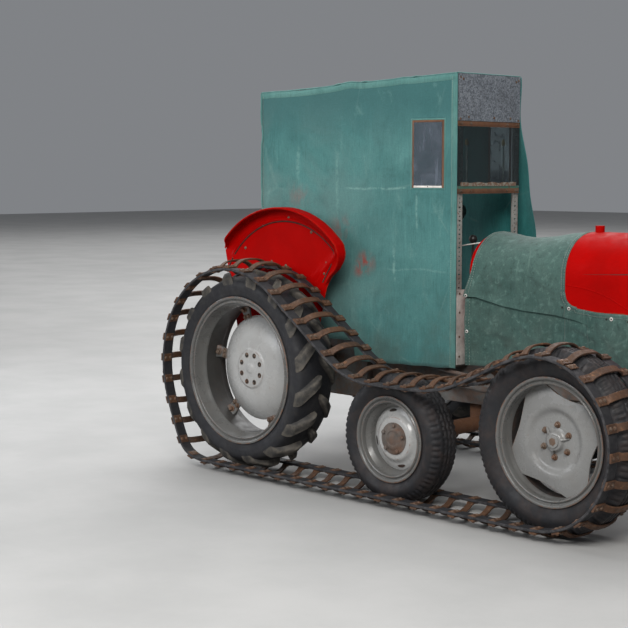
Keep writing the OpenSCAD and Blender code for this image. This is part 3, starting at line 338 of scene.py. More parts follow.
def spangle_material():
    """Galvanised sheet with its crystals."""
    g = Graph("galvanised_spangle")
    grain = g.parts(g.cells(170.0, out="Color"))
    colour = g.mix(grain["X"], (0.13, 0.15, 0.175), (0.40, 0.435, 0.48))
    colour = g.stain(colour, g.noise(7.0, 5, 0.65), 0.45, 0.75, 0.45, (0.08, 0.085, 0.092))
    streak = g.noise(14.0, 5, 0.7, 0.2, (1.0, 1.0, 0.2))
    colour = g.stain(colour, streak, 0.62, 0.78, 0.5, (0.36, 0.37, 0.38))
    rub = g.bump(grain["Y"], 0.18, 0.0008)
    rub = g.bump(g.noise(5.0, 2), 0.12, 0.012, rub)
    g.set(Base_Color=colour, Roughness=g.step(grain["Z"], 0.0, 1.0, 0.3, 0.55), Metallic=0.65, Normal=rub)
    return g.material


def glass_material(name, dust, film_colour, clear):
    """Clear glass under a film with streaks: dust on the side panes; on the windscreen a dark tint and a dark
    film, painted shade of the unlit cab behind it.
    """
    g = Graph(name)
    film = g.noise(9.0, 6, 0.68, 0.6)
    film = g.step(film, 0.36, 0.8, dust * 0.4, dust)
    streak = g.step(g.noise(10.0, 4, 0.6, 0.3, (5.0, 5.0, 0.4)), 0.55, 0.78, 0.0, dust)
    amount = g.math("MINIMUM", g.math("ADD", film, streak), 0.9)
    g.set(Base_Color=clear, Roughness=0.04, IOR=1.45, Transmission_Weight=1.0)
    dusty = g.node("BsdfPrincipled", Base_Color=film_colour, Roughness=0.75)
    mixed = g.node("MixShader")
    for socket, value in zip(mixed.inputs, (amount, g.shader.outputs[0], dusty.outputs[0])):
        g.put(socket, value)
    g.put(g.out.inputs["Surface"], mixed.outputs[0])
    return g.material


SMUDGES = [(at(430, -327, 1010), 0.075, 0.85), (at(395, -334, 975), 0.05, 0.6),
           (at(60, -405, 1320), 0.09, 0.3), (at(300, -355, 1165), 0.10, 0.35)]
# lines where the canvas was folded: axis, place, width, the other axis with its ends, strength
FOLDS = [("Z", 1.357, 0.008, "X", -0.506, -0.130, 0.42), ("X", -0.106, 0.009, "Z", 1.150, 1.360, 0.36),
         ("X", -0.746, 0.016, "Z", 1.380, 1.570, 0.28), ("X", -0.530, 0.012, "Z", 1.220, 1.540, 0.26),
         ("X", -0.221, 0.012, "Z", 0.900, 1.110, 0.4), ("Z", 0.985, 0.008, "X", -0.300, 0.080, 0.2)]
TEAL, TEAL_FADED, TEAL_DARK = (0.039, 0.140, 0.136), (0.072, 0.205, 0.197), (0.021, 0.090, 0.090)
M = {
    "canvas_side": canvas_material("canvas_side", TEAL, TEAL_FADED, TEAL_DARK, "side", SMUDGES, folds=FOLDS),
    "canvas_top": canvas_material("canvas_top", TEAL, TEAL_FADED, TEAL_DARK, "top"),
    # darker copy of the canvas for the sheets' inner faces: painted shade of the cab's inside
    "canvas_inside_painted_shade": canvas_material("canvas_inside_painted_shade", (0.012, 0.120, 0.116), (0.020, 0.150, 0.144),
                                     (0.007, 0.080, 0.078), "side"),
    "canvas_apron": canvas_material("canvas_apron", (0.027, 0.071, 0.061), (0.060, 0.116, 0.100),
                                    (0.014, 0.040, 0.035), "side", mottle=0.6),
    "canvas_hem": canvas_material("canvas_hem", (0.058, 0.165, 0.152), (0.092, 0.22, 0.202),
                                  (0.038, 0.118, 0.110), "side"),
    "red": paint_material("red_paint_worn", (0.37, 0.001, 0.0006), (0.29, 0.0009, 0.0005),
                          (0.20, 0.003, 0.002), 0.71, 0.42, 0.2, 1.0, 0.03),
    "grey": paint_material("wheel_grey_paint", (0.112, 0.112, 0.108), (0.088, 0.087, 0.083),
                           (0.115, 0.096, 0.078), 0.67, 0.22, 0.3),
    # dark grey lining over the rear rims' inner face: painted shade
    "shade": paint_material("rim_inside_painted_shade", (0.042, 0.041, 0.039), (0.030, 0.029, 0.027), (0.060, 0.046, 0.036),
                            0.66, 0.4, 0.35),
    # a lighter copy of the wheel grey for the rear and mid discs: painted light on their domes
    "disc_rear": paint_material("disc_grey_rear_painted_light", (0.370, 0.371, 0.365), (0.310, 0.310, 0.304),
                                (0.270, 0.240, 0.212), 0.68, 0.16, 0.22),
    "disc": paint_material("disc_grey_paint", (0.205, 0.206, 0.202), (0.170, 0.170, 0.166),
                           (0.165, 0.145, 0.125), 0.68, 0.16, 0.22),
    "iron": iron_material("cast_iron_grey", (0.13, 0.13, 0.125), 0.5),
    "rusty": iron_material("rusty_steel", (0.16, 0.075, 0.04), 0.9, 0.1, 0.75),
    "bolt": iron_material("bolt_steel", (0.16, 0.115, 0.085), 0.7, 0.3, 0.6),
    "hub": iron_material("hub_rust", (0.125, 0.105, 0.092), 0.55, 0.1, 0.7),
    "cleat": rust_material(),
    "tyre": rubber_material("tyre_rubber_rear", (0.0088, 0.0092, 0.0118), (0.030, 0.027, 0.025), 0.5),
    "lug": rubber_material("tyre_lug_dusty", (0.024, 0.023, 0.022), (0.100, 0.088, 0.072), 0.85, 0.7),
    "tyre_small": rubber_material("tyre_rubber_small", (0.0075, 0.0078, 0.0096), (0.048, 0.029, 0.022), 0.4),
    "belt": rubber_material("belt_rubber", (0.0085, 0.0085, 0.0105), (0.052, 0.050, 0.052), 0.18, 0.7),
    "zinc": spangle_material(),
    "angle": paint_material("slotted_angle", (0.30, 0.30, 0.28), (0.21, 0.20, 0.185), (0.14, 0.105, 0.08),
                            0.58, 0.4, 0.6, 1.6),
    "alloy": iron_material("aluminium_strip", (0.76, 0.73, 0.68), 0.1, 0.1, 0.5),
    # the windscreen's dark tint and dark film: painted shade of the cab behind it
    "screen": glass_material("screen_glass_painted_shade", 0.2, (0.016, 0.024, 0.028), (0.27, 0.35, 0.36)),
    "pane": glass_material("pane_glass", 0.9, (0.085, 0.105, 0.135), (0.6, 0.66, 0.7)),
    "flaked": paint_material("flaked_white", (0.26, 0.25, 0.21), (0.15, 0.135, 0.105), (0.11, 0.08, 0.06),
                             0.48, 0.6, 0.8, 1.5),
    "green": paint_material("green_strip", (0.05, 0.14, 0.10), (0.03, 0.09, 0.07), (0.12, 0.10, 0.07), 0.6,
                            0.45, 0.5),
    "black": rubber_material("black_rim", (0.012, 0.012, 0.012), (0.07, 0.065, 0.06), 0.35, 0.4, 0.1),
    # near-black stand-in for shade: painted shade in the discs' holes and slots, the front and mid rims'
    # linings, the bonnet's seam and swage, the fender's rib and the eyelets
    "hole": iron_material("painted_shade_black", (0.012, 0.011, 0.010), 0.2, 0.0, 0.85),
    "brass": iron_material("brass_knob", (0.72, 0.42, 0.14), 0.1, 0.2, 0.4),
    "thread": iron_material("hem_thread", (0.30, 0.34, 0.30), 0.1, 0.0, 0.9),
}


# meshes
class Shape:
    """Faces of several forms gathered for one object, with a material for each and point values for wear."""

    def __init__(self):
        self.points, self.faces, self.slots, self.values = [], [], [], {}

    def add(self, points, faces, slot=0, **values):
        start = len(self.points)
        self.points.extend(tuple(p) for p in points)
        self.faces.extend(tuple(i + start for i in f) for f in faces)
        self.slots.extend([slot] * len(faces))
        for key, value in values.items():
            row = self.values.setdefault(key, [])
            row.extend([0.0] * (start - len(row)))
            row.extend(value if hasattr(value, "__len__") else [value] * (len(self.points) - start))

    def ribbon(self, rows, slot=0, flip=False, **values):
        """An open sheet of points in rows."""
        faces = grid_faces(len(rows), len(rows[0]))
        self.add([q for r in rows for q in r], [f[::-1] for f in faces] if flip else faces, slot, **values)

    def build(self, name, materials, body="chassis", replaces=(), sharp=38.0):
        mesh = bpy.data.meshes.new(name)
        mesh.from_pydata([at(*p) for p in self.points], [], self.faces)
        for key, row in self.values.items():
            row = row + [0.0] * (len(self.points) - len(row))
            mesh.attributes.new(key, "FLOAT", "POINT").data.foreach_set("value", np.array(row, np.float32))
        for m in materials:
            mesh.materials.append(M[m])
        mesh.polygons.foreach_set("material_index", self.slots)
        mesh.polygons.foreach_set("use_smooth", [True] * len(self.faces))
        mesh.update()
        mesh.set_sharp_from_angle(angle=math.radians(sharp))
        obj = bpy.data.objects.new(name, mesh)
        scene.collection.objects.link(obj)
        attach(obj, body)
        if replaces:
            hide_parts(*replaces)
        return obj


def grid_faces(rows, columns, wrap_rows=False, wrap_columns=False):
    found = []
    for i in range(rows if wrap_rows else rows - 1):
        for j in range(columns if wrap_columns else columns - 1):
            a, b = i * columns + j, i * columns + (j + 1) % columns
            c, d = ((i + 1) % rows) * columns + (j + 1) % columns, ((i + 1) % rows) * columns + j
            found.append((a, b, c, d))
    return found


def facing(faces, side):
    """Faces of a piece drawn for the right side, turned over for the left."""
    return [f[::-1] for f in faces] if side > 0 else faces


def marked(outline, *which):
    """Wear along an outline: 1 at the points named, 0 elsewhere."""
    return [1.0 if i in which else 0.0 for i in range(len(outline))]


def loft(sections, closed_path=False, caps=True):
    """Closed sections joined one after the other."""
    n, m = len(sections), len(sections[0])
    faces = grid_faces(n, m, closed_path, True)
    if caps and not closed_path:
        faces += [tuple(range(m - 1, -1, -1)), tuple(range((n - 1) * m, n * m))]
    return [p for s in sections for p in s], faces


def frame_of(axis):
    w = Vector(axis).normalized()
    u = w.orthogonal().normalized()
    return u, w.cross(u), w


def turned(base, axis, outline, sides=24, spin=0.0):
    """A solid of revolution: outline is [radius, height along the axis], from the base up."""
    u, v, w = frame_of(axis)
    b = Vector(base)
    sections = []
    for r, h in outline:
        sections.append([tuple(b + w * h + (u * math.cos(t) + v * math.sin(t)) * max(r, 0.01))
                         for t in (spin + 2 * math.pi * k / sides for k in range(sides))])
    return loft(sections)


def hex_bolt(shape, base, axis, r, high, slot, washer=1.6, spin=0.0):
    shape.add(*turned(base, axis, [(r * washer, 0), (r * washer, high * 0.22), (r * 1.05, high * 0.24)], 12),
              slot)
    shape.add(*turned(base, axis, [(r, high * 0.2), (r, high * 0.85), (r * 0.8, high)], 6, spin), slot)


def dome_bolt(shape, base, axis, r, high, slot):
    shape.add(*turned(base, axis, [(r, 0), (r * 0.92, high * 0.5), (r * 0.55, high * 0.9), (r * 0.1, high)],
                      8), slot)


def tube(path, r, sides=10):
    sections = []
    p = [Vector(q) for q in path]
    up = None
    for i, q in enumerate(p):
        d = (p[min(i + 1, len(p) - 1)] - p[max(i - 1, 0)]).normalized()
        if up is None:
            up = d.orthogonal().normalized()
        up = (up - d * up.dot(d)).normalized()
        side = d.cross(up)
        rr = r[i] if hasattr(r, "__len__") else r
        sections.append([tuple(q + (up * math.cos(t) + side * math.sin(t)) * rr)
                         for t in (2 * math.pi * k / sides for k in range(sides))])
    return loft(sections)


def chamfered(lo, hi, c):
    """A block between two corners with its edges cut."""
    sections = []
    for z, inset in ((lo[2], c), (lo[2] + c, 0.0), (hi[2] - c, 0.0), (hi[2], c)):
        x0, x1, y0, y1 = lo[0] + inset, hi[0] - inset, lo[1] + inset, hi[1] - inset
        k = c if inset == 0.0 else c * 0.4
        sections.append([(x0 + k, y0, z), (x1 - k, y0, z), (x1, y0 + k, z), (x1, y1 - k, z), (x1 - k, y1, z),
                         (x0 + k, y1, z), (x0, y1 - k, z), (x0, y0 + k, z)])
    return loft(sections)


def wobble(x, y, z, scale):
    return noise.noise(Vector((x * scale, y * scale, z * scale)))


def smooth(t):
    t = min(1.0, max(0.0, t))
    return t * t * (3 - 2 * t)


def bell(d, width):
    """1 where d is 0, falling off to both sides."""
    return math.exp(-(d / width) ** 2)


def bend(points, per):
    """A smooth line through points of any dimension, with a number of steps for each span."""
    p = np.array(points, float)
    out = []
    for i in range(len(p) - 1):
        a, b, c, d = p[max(i - 1, 0)], p[i], p[i + 1], p[min(i + 2, len(p) - 1)]
        for k in range(per):
            t = k / per
            out.append(0.5 * (2 * b + (c - a) * t + (2 * a - 5 * b + 4 * c - d) * t * t
                              + (3 * b - a - 3 * c + d) * t ** 3))
    out.append(p[-1])
    return out


# the track's loop
BELT_LOW = CLEAT_THICK + ARCH_RISE + 0.1 + BELT_THICK
ARCH_DEPTH = BELT_THICK + 0.1 + ARCH_RISE
FRONT_SEAT_R = 369.5 + 6 - ARCH_DEPTH
FRONT_TURN_R = FRONT_SEAT_R + CLEAT_PITCH ** 2 / (8 * FRONT_SEAT_R)
SADDLE_Z = MID_Z + 279.5 + 0.5 - ARCH_DEPTH
ROUNDS = [(WHEELBASE, BELT_LOW + FRONT_TURN_R, FRONT_TURN_R), (WHEELBASE - 628, SADDLE_Z + 600, -600),
          (MID_X - 70, SADDLE_Z + 380, -380), (-25, REAR_Z, 475), (-270, BELT_LOW + 120, 120)]


def track_line():
    """Middles and directions of the loop's chords, one for each cleat."""
    n = len(ROUNDS)
    centres = [np.array(r[:2], float) for r in ROUNDS]
    radii = [r[2] for r in ROUNDS]

    def left(a):
        return np.array((-math.sin(a), math.cos(a)))

    heads = []
    for i in range(n):
        d = centres[(i + 1) % n] - centres[i]
        heads.append(math.atan2(d[1], d[0]) - math.asin((radii[(i + 1) % n] - radii[i]) / np.linalg.norm(d)))
    legs, rows = [], []
    for i in range(n):
        came = heads[i - 1]
        t = (heads[i] - came) % (2 * math.pi)
        if radii[i] < 0:
            t -= 2 * math.pi
        leave = centres[i] - radii[i] * left(heads[i])
        meet = centres[(i + 1) % n] - radii[(i + 1) % n] * left(heads[i])
        legs += [radii[i] * t, float(np.linalg.norm(meet - leave))]
        rows += [(i, came), (i, leave)]
    starts = np.concatenate([[0.0], np.cumsum(legs)])
    total = starts[-1]
    count = round(total / CLEAT_PITCH)
    step = total / count

    def along(s):
        s %= total
        k = max(i for i in range(len(legs)) if starts[i] <= s + 1e-9)
        i, d = k // 2, s - starts[k]
        if k % 2 == 0:
            return centres[i] - radii[i] * left(rows[k][1] + d / radii[i])
        return rows[k][1] + d * np.array((math.cos(heads[i]), math.sin(heads[i])))

    corners = [along((k - 0.5) * step) for k in range(count)]
    middles = [(corners[k] + corners[(k + 1) % count]) / 2 for k in range(count)]
    turns = [math.atan2(*(corners[(k + 1) % count] - corners[k])[::-1]) for k in range(count)]
    return middles, turns, step


MIDDLES, TURNS, PITCH = track_line()


def belt_line(per):
    """Points of the belt's inner face and its outward direction, smooth between the cleats."""
    found, n = [], len(MIDDLES)
    for k in range(n):
        p0, p1 = MIDDLES[k], MIDDLES[(k + 1) % n]
        t0, t1 = (PITCH * chord_axes(TURNS[i % n])[0] for i in (k, k + 1))
        for i in range(per):
            t = i / per
            p = ((2 * t ** 3 - 3 * t * t + 1) * p0 + (t ** 3 - 2 * t * t + t) * t0
                 + (3 * t * t - 2 * t ** 3) * p1 + (t ** 3 - t * t) * t1)
            d = ((6 * t * t - 6 * t) * p0 + (3 * t * t - 4 * t + 1) * t0
                 + (6 * t - 6 * t * t) * p1 + (3 * t * t - 2 * t) * t1)
            d /= np.linalg.norm(d)
            found.append((p, np.array((d[1], -d[0]))))
    return found


def chord_axes(turn):
    """Directions along a chord of the loop and outward from it."""
    return np.array((math.cos(turn), math.sin(turn))), np.array((math.sin(turn), -math.cos(turn)))


def make_belts(side, name):
    shape = Shape()
    line = belt_line(8)
    c, w, h = 2.5, BELT_WIDTH, BELT_THICK
    outline = [(0, c), (c, 0), (w - c, 0), (w, c), (w, h - c), (w - c, h), (c, h), (0, h - c)]
    edge = [1.0, 0.5, 0.5, 1.0, 1.0, 0.6, 0.6, 1.0]
    reach = BELT_INSET + BELT_WIDTH
    for low in (-reach, BELT_INSET):
        sections = []
        for i, (p, out) in enumerate(line):
            rag = 1.2 * wobble(i * 0.31, low, side * 3.0, 1.0)
            across = [max(-reach, min(reach, low + y + (rag if 0 < y < w else 0.4 * rag))) for y,
                      d in outline]
            sections.append([(p[0] + out[0] * d, side * WHEEL_Y + y, p[1] + out[1] * d)
                             for y, (_, d) in zip(across, outline)])
        shape.add(*loft(sections, closed_path=True), 0, edge=edge * len(line))
    # joint plates, two on each belt
    for k, low in ((9, -1), (37, -1), (20, 1), (48, 1)):
        m, a = MIDDLES[k], TURNS[k]
        t, n = chord_axes(a)
        y0 = side * WHEEL_Y + low * (BELT_INSET + BELT_WIDTH / 2)
        rows = []
        for s, d0, d1 in ((-50, BELT_THICK, BELT_THICK + 3), (-48, BELT_THICK, BELT_THICK + 4),
                          (-20, BELT_THICK, BELT_THICK + 4), (-19, BELT_THICK, BELT_THICK + 3)):
            rows.append([(m[0] + t[0] * s + n[0] * d, y0 + y, m[1] + t[1] * s + n[1] * d)
                         for y, d in ((-22, d0), (22, d0), (22, d1), (-22, d1))])
        shape.add(*loft(rows), 1)
        for y in (-13, 13):
            q = m + t * -34 + n * (BELT_THICK + 4)
            hex_bolt(shape, (q[0], y0 + y, q[1]), (n[0], 0, n[1]), 6.5, 6, 2)
    return shape.build(name, ["belt", "cleat", "bolt"], replaces=[name])


def cleat_line():
    """Middle line of a cleat across the belts: place across, and depth outward from the belt's face."""
    rows = []
    reach = BELT_INSET + BELT_WIDTH
    for y in [-reach, -140, -125, -110, -101, -97, -93, -88, -80, -70, -60, -50, -38, -26, -13]:
        t = max(0.0, 1 - (abs(y) / 99.0) ** 3)
        rows.append((y, CLEAT_THICK / 2 + ARCH_RISE * t))
    rows += [(0.0, CLEAT_THICK / 2 + ARCH_RISE)] + [(-y, d) for y, d in reversed(rows)]
    return rows


def make_cleats(side, name):
    shape = Shape()
    rng = random.Random(41 + side)
    line = cleat_line()
    hw, ht, c = CLEAT_WIDTH / 2, CLEAT_THICK / 2, 1.4
    outline = [(-hw, -ht + c), (-hw + c, -ht), (hw - c, -ht), (hw, -ht + c), (hw, ht - c), (hw - c, ht),
               (-hw + c, ht), (-hw, ht - c)]
    for m, a in zip(MIDDLES, TURNS):
        tone = rng.random()
        skew, shift = math.radians(rng.uniform(-1.5, 1.5)), rng.uniform(-1.5, 1.5)
        t, n = chord_axes(a)

        def lay(along, across, depth):
            s = along + shift + across * math.sin(skew)
            q = m + t * s + n * (BELT_THICK + 0.1 + depth)
            return (q[0], side * WHEEL_Y + across, q[1])

        sections = []
        for i, (y, d) in enumerate(line):
            y0, d0 = line[max(i - 1, 0)]
            y1, d1 = line[min(i + 1, len(line) - 1)]
            g = math.hypot(y1 - y0, d1 - d0)
            ny, nd = -(d1 - d0) / g, (y1 - y0) / g
            narrow = 1.0 if abs(y) > 96 else 0.84
            sections.append([lay(s * narrow, y + ny * h, d + nd * h) for s, h in outline])
        shape.add(*loft(sections), 0, tone=tone)
        axis = (n[0], 0, n[1])
        for y in (-140, -113, 113, 140):
            hex_bolt(shape, lay(0, y, CLEAT_THICK - 0.3), axis, 7.0, 6.0, 1, 1.35, rng.uniform(0, 1))
            q = m + t * shift - n * 2.6
            dome_bolt(shape, (q[0], side * WHEEL_Y + y, q[1]), (-n[0], 0, -n[1]), 8.0, 4.0, 1)
        # backing plates on the belt's inner face
        for y in (-126.5, 126.5):
            rows = []
            for along, low in ((-19, 1.0), (-17, 2.8), (17, 2.8), (19, 1.0)):
                q0, q1 = m + t * (along + shift) + n * 0.1, m + t * (along + shift) - n * low
                rows.append([(q0[0], side * WHEEL_Y + y - 22, q0[1]), (q0[0], side * WHEEL_Y + y + 22, q0[1]),
                             (q1[0], side * WHEEL_Y + y + 21, q1[1]),
                             (q1[0], side * WHEEL_Y + y - 21, q1[1])])
            shape.add(*loft(rows), 0, tone=tone * 0.7)
    return shape.build(name, ["cleat", "bolt"], replaces=[name])


# wheels: outlines are [radius, distance outboard of the wheel plane]
def wheel_point(centre, side, r, turn, y):
    return (centre[0] + r * math.cos(turn), side * (WHEEL_Y + y), centre[1] + r * math.sin(turn))


def spun(shape, centre, side, outline, steps, slot=0, closed=True, edge=None):
    sections = [[wheel_point(centre, side, r, 2 * math.pi * k / steps, y) for r, y in outline]
                for k in range(steps)]
    m = len(outline)
    faces = facing(grid_faces(steps, m, True, closed), side)
    values = {"edge": list(edge) * steps} if edge is not None else {}
    shape.add([p for s in sections for p in s], faces, slot, **values)


def rim(shape, centre, side, r, w, well=49.0, dark=-0.30, lining=2):
    """A wheel rim: well is how far its middle lies inside the flange, dark where its lining starts; the
    lining is painted shade, a dark sheet over the rim's inner face.
    """
    k = r / 349.0
    e = 0.9 + 0.1 * k
    front = [(r, w - 4), (r, w - 1.2), (r - 3 * e, w), (r - 9 * e, w - 0.5), (r - 13 * e, w - 4),
             (r - 15 * e, w - 11), (r - 19 * e, w - 12), (r - 22 * e, w - 7), (r - 26 * e, w - 5),
             (r - 30 * e, w - 7), (r - 32 * e, w - 13)]
    inner = [(r - 33 * e, w * 0.66), (r - well + 3, w * 0.47), (r - well, w * 0.40)]
    outer = [(r - well + 6, w * 0.40), (r - well + 8, w * 0.43), (r - 17, w * 0.62), (r - 17, w - 12),
             (r - 2, w - 8)]
    near = front + inner
    far = [(a, -b) for a, b in reversed(inner)] + [(r - 32 * e, 14 - w), (r - 9 * e, 1 - w), (r - 2, 0.5 - w),
                                                   (r, 3 - w)]
    seat = [(a, -b) for a, b in reversed(outer)] + outer
    outline = near + far + seat
    spun(shape, centre, side, outline, 144, 0, True, marked(outline, 1, 2, 8))
    # the lining: a dark sheet just inside the rim's inner face, painted shade
    liner = [(r - well - 0.6, w * dark), (r - well - 0.6, -w * 0.40), (r - well + 2.4, -w * 0.47),
             (r - 33.6 * e, -w * 0.66), (r - 32.6 * e, 14.4 - w), (r - 9.6 * e, 1.2 - w)]
    spun(shape, centre, side, liner, 96, lining, False)


def rear_wheel(side, name, body):
    shape = Shape()
    centre = (0.0, REAR_Z)
    rim(shape, centre, side, 349.0, 110.0, 49.0, 0.38, 5)
    face = [(0, 31), (16, 30), (22, 26.5), (28, 24), (55, 23.5), (84, 23.5), (89, 22.8), (93, 20), (97, 16.8),
            (102, 16.2), (116, 16.4), (138, 14.6), (160, 10.6), (182, 2.4), (204, -8.6), (222, -19.8),
            (236, -30), (245, -37.4), (250, -42)]
    behind = [(245, -42), (238, -38), (228, -31), (190, -9), (140, 8), (100, 10), (0, 10)]
    spun(shape, centre, side, face + behind, 120, 4, True, marked(face + behind, 6, 17))
    out = (0, side, 0)
    # eight holes in the disc: a ring round a dark disc each, the dark disc painted shade for the open hole; a
    # bolt beside each
    for k in range(8):
        a = math.radians(22.5 + 45 * k)
        q = wheel_point(centre, side, 68, a, 23.6)
        shape.add(*turned(q, out, [(13, -0.5), (12.4, 0.7), (10.2, 0.9)], 14), 1)
        shape.add(*turned(q, out, [(10.4, 0.5), (10.0, 1.2)], 14), 2)
        off = wheel_point(centre, side, 71, a - 0.05, 23.6)
        shape.add(*turned(off, out, [(5.5, 1.0), (5.5, 3.6), (4, 4.6)], 6), 1)
    for k in range(6):
        a = math.radians(60 * k - 11)
        radial, around = (math.cos(a), math.sin(a)), (-math.sin(a), math.cos(a))

        def lug(u, v, y):
            return (centre[0] + radial[0] * u + around[0] * v, side * (WHEEL_Y + y),
                    centre[1] + radial[1] * u + around[1] * v)

        rows = []
        for u, half, low, high in ((236, 26, -42, -33), (240, 26, -42, -31), (262, 24, -42, -31),
                                   (284, 27, -43, -27), (297, 30, -45, -17), (301, 30, -46, -15)):
            rows.append([lug(u, v, y) for v, y in ((-half, low + 2), (-half + 3, low), (half - 3, low),
                                                   (half, low + 2), (half, high - 3), (half - 3, high),
                                                   (3 - half, high), (-half, high - 3))])
        shape.add(*loft(rows), 0, edge=0.8)
        for v in (-12, 12):
            hex_bolt(shape, lug(254, v, -31.4), out, 8.5, 10, 1, 1.5, 0.3 * k)
        hex_bolt(shape, lug(290, 0, -23), (radial[0] * -0.35, side, radial[1] * -0.35), 11, 16, 1, 1.5,
                 0.2 * k)
    spun(shape, centre, side, [(62, 11), (62, -60), (66, -64), (66, -120), (58, -148), (32, -149), (32, 10)],
         48, 3)
    return shape.build(name, ["grey", "bolt", "hole", "iron", "disc_rear", "shade"], body, [name])


def front_wheel(side, name, body):
    shape = Shape()
    centre = (WHEELBASE, FRONT_Z)
    rim(shape, centre, side, 258.0, 70.0, 34.0, 0.1)
    levels = bend([(0, 12), (40, 12), (70, 12), (102, 12.2), (112, 14.5), (122, 21), (132, 27), (141, 28.6),
                   (151, 27.4), (164, 25), (180, 22), (197, 18), (212, 15), (226, 13)], 3)
    radii, heights = [p[0] for p in levels], [p[1] for p in levels]
    cuts = [math.radians(a) for a in (73.5, 163.5, 253.5, 343.5)]
    cut_half = math.radians(30.5)
    # reach of the lobes between the cuts, of a cut at its ends and how far it is hollowed, the bore
    lobe, cut_reach, hollow, bore, thick = 224.4, 193, 14, 18, 6
    steps, rows = 360, 30
    top, under, edge = [], [], []
    for k in range(steps):
        a = 2 * math.pi * k / steps
        reach = lobe
        for c in cuts:
            d = (a - c + math.pi) % (2 * math.pi) - math.pi
            if abs(d) < cut_half:
                bow = hollow * math.cos(math.pi * d / (2 * cut_half))
                reach = min(reach, (cut_reach - bow) / math.cos(d))
        for i in range(rows):
            s = i / (rows - 1)
            r = bore + (reach - bore) * s
            y = float(np.interp(r, radii, heights))
            top.append(wheel_point(centre, side, r, a, y))
            under.append(wheel_point(centre, side, r, a, y - thick))
            edge.append(1.0 if s > 0.985 else 0.0)
    faces = grid_faces(steps, rows, True, False)
    n = steps * rows
    faces += [tuple(i + n for i in f[::-1]) for f in grid_faces(steps, rows, True, False)]
    for k in range(steps):
        a, b = k * rows + rows - 1, ((k + 1) % steps) * rows + rows - 1
        faces.append((a, a + n, b + n, b))
    shape.add(top + under, facing(faces, side), 4, edge=edge + edge)
    out = (0, side, 0)
    hub = [(54, 6), (54, 12.5), (46, 15), (40, 20), (37, 29), (33, 32), (27, 33), (25, 38), (18, 39.5),
           (0.5, 40)]
    shape.add(*turned(wheel_point(centre, side, 0, 0, 0), out, hub, 40), 4)
    for k in range(3):
        a = math.radians(15 + 120 * k)
        path = [wheel_point(centre, side, r, a, y) for r, y in ((34, 28), (50, 18), (66, 13))]
        shape.add(*tube(path, [7, 6, 4]), 4)
    hex_bolt(shape, wheel_point(centre, side, 0, 0, 32), out, 17, 9, 1, 1.2)
    for k in range(6):
        q = wheel_point(centre, side, 65, math.radians(25 + 60 * k), 12)
        shape.add(*turned(q, out, [(13.5, 0), (13.5, 2), (12, 4), (11, 5)], 16), 1)
        shape.add(*turned(q, out, [(9.5, 4), (9.5, 12), (7, 14)], 6, 0.4 * k), 1)
        shape.add(*turned(q, out, [(5, 12), (5, 17), (3.5, 18)], 10), 1)
    spun(shape, centre, side, [(46, 8), (46, -40), (38, -57), (23, -57.5), (23, 8)], 40, 3)
    return shape.build(name, ["grey", "bolt", "hole", "iron", "disc"], body, [name])


def mid_wheel(side, name, body):
    shape = Shape()
    centre = (MID_X, MID_Z)
    rim(shape, centre, side, 188.0, 76.0)
    face = [(30, 38), (84, 38), (92, 36.5), (98, 31), (104, 24), (112, 19), (118, 17.5), (126, 14), (134, 9),
            (141.5, 6)]
    behind = [(r, y - 6) for r, y in reversed(face)]
    spun(shape, centre, side, face + behind, 96, 4, True, marked(face + behind, 2))
    out = (0, side, 0)
    # four curved slots in the disc, drawn as dark sheets: painted shade for the open slots
    for k in range(4):
        base = math.radians(12 + 90 * k)
        inner, outer = [], []
        for i in range(9):
            a = base + math.radians(-11 + 22 * i / 8)
            bulge = 6.5 * math.sqrt(max(0.0, math.sin(math.pi * i / 8)))
            inner.append(wheel_point(centre, side, 122 - bulge, a, 16.6 + bulge * 0.35))
            outer.append(wheel_point(centre, side, 122 + bulge, a, 16.6 - bulge * 0.42))
        faces = [(i, i + 1, i + 10, i + 9) for i in range(8)]
        shape.add(inner + outer, faces, 2)
    hub = [(70, 37.6), (70, 41), (64, 43), (52, 43.5), (46, 48), (42, 50), (33, 50), (31, 47.5), (24, 47.5),
           (18, 49.5), (0.5, 50)]
    shape.add(*turned(wheel_point(centre, side, 0, 0, 0), out, hub, 40), 1)
    for k in range(5):
        a = math.radians(12 + 72 * k)
        hex_bolt(shape, wheel_point(centre, side, 58, a, 43), out, 9, 11, 1, 1.35, 0.5 * k)
    spun(shape, centre, side, [(44, 37), (44, -40), (36, -61), (21, -61.5), (21, 37)], 40, 3)
    return shape.build(name, ["grey", "hub", "hole", "iron", "disc_rear"], body, [name])


LUG_BREADTH, LUG_COUNT = 1.28, 16
TREAD_GROOVES = (-24, 0, 24)
SMALL_TYRES = {
    "mid": dict(centre=(MID_X, MID_Z), bead=((171.6, 62), (189.5, 68)), wall=(226, 85), shoulder=(261, 70),
                crown=(277.2, 38), steps=300, groove=46, notches=64, lift=2.0),
    "front": dict(centre=(WHEELBASE, FRONT_Z), bead=((241.6, 56), (259.5, 62)), wall=(303, 77.5),
                  shoulder=(347, 64), crown=(369.2, 35), steps=432, groove=54, notches=90, lift=0.0),
}


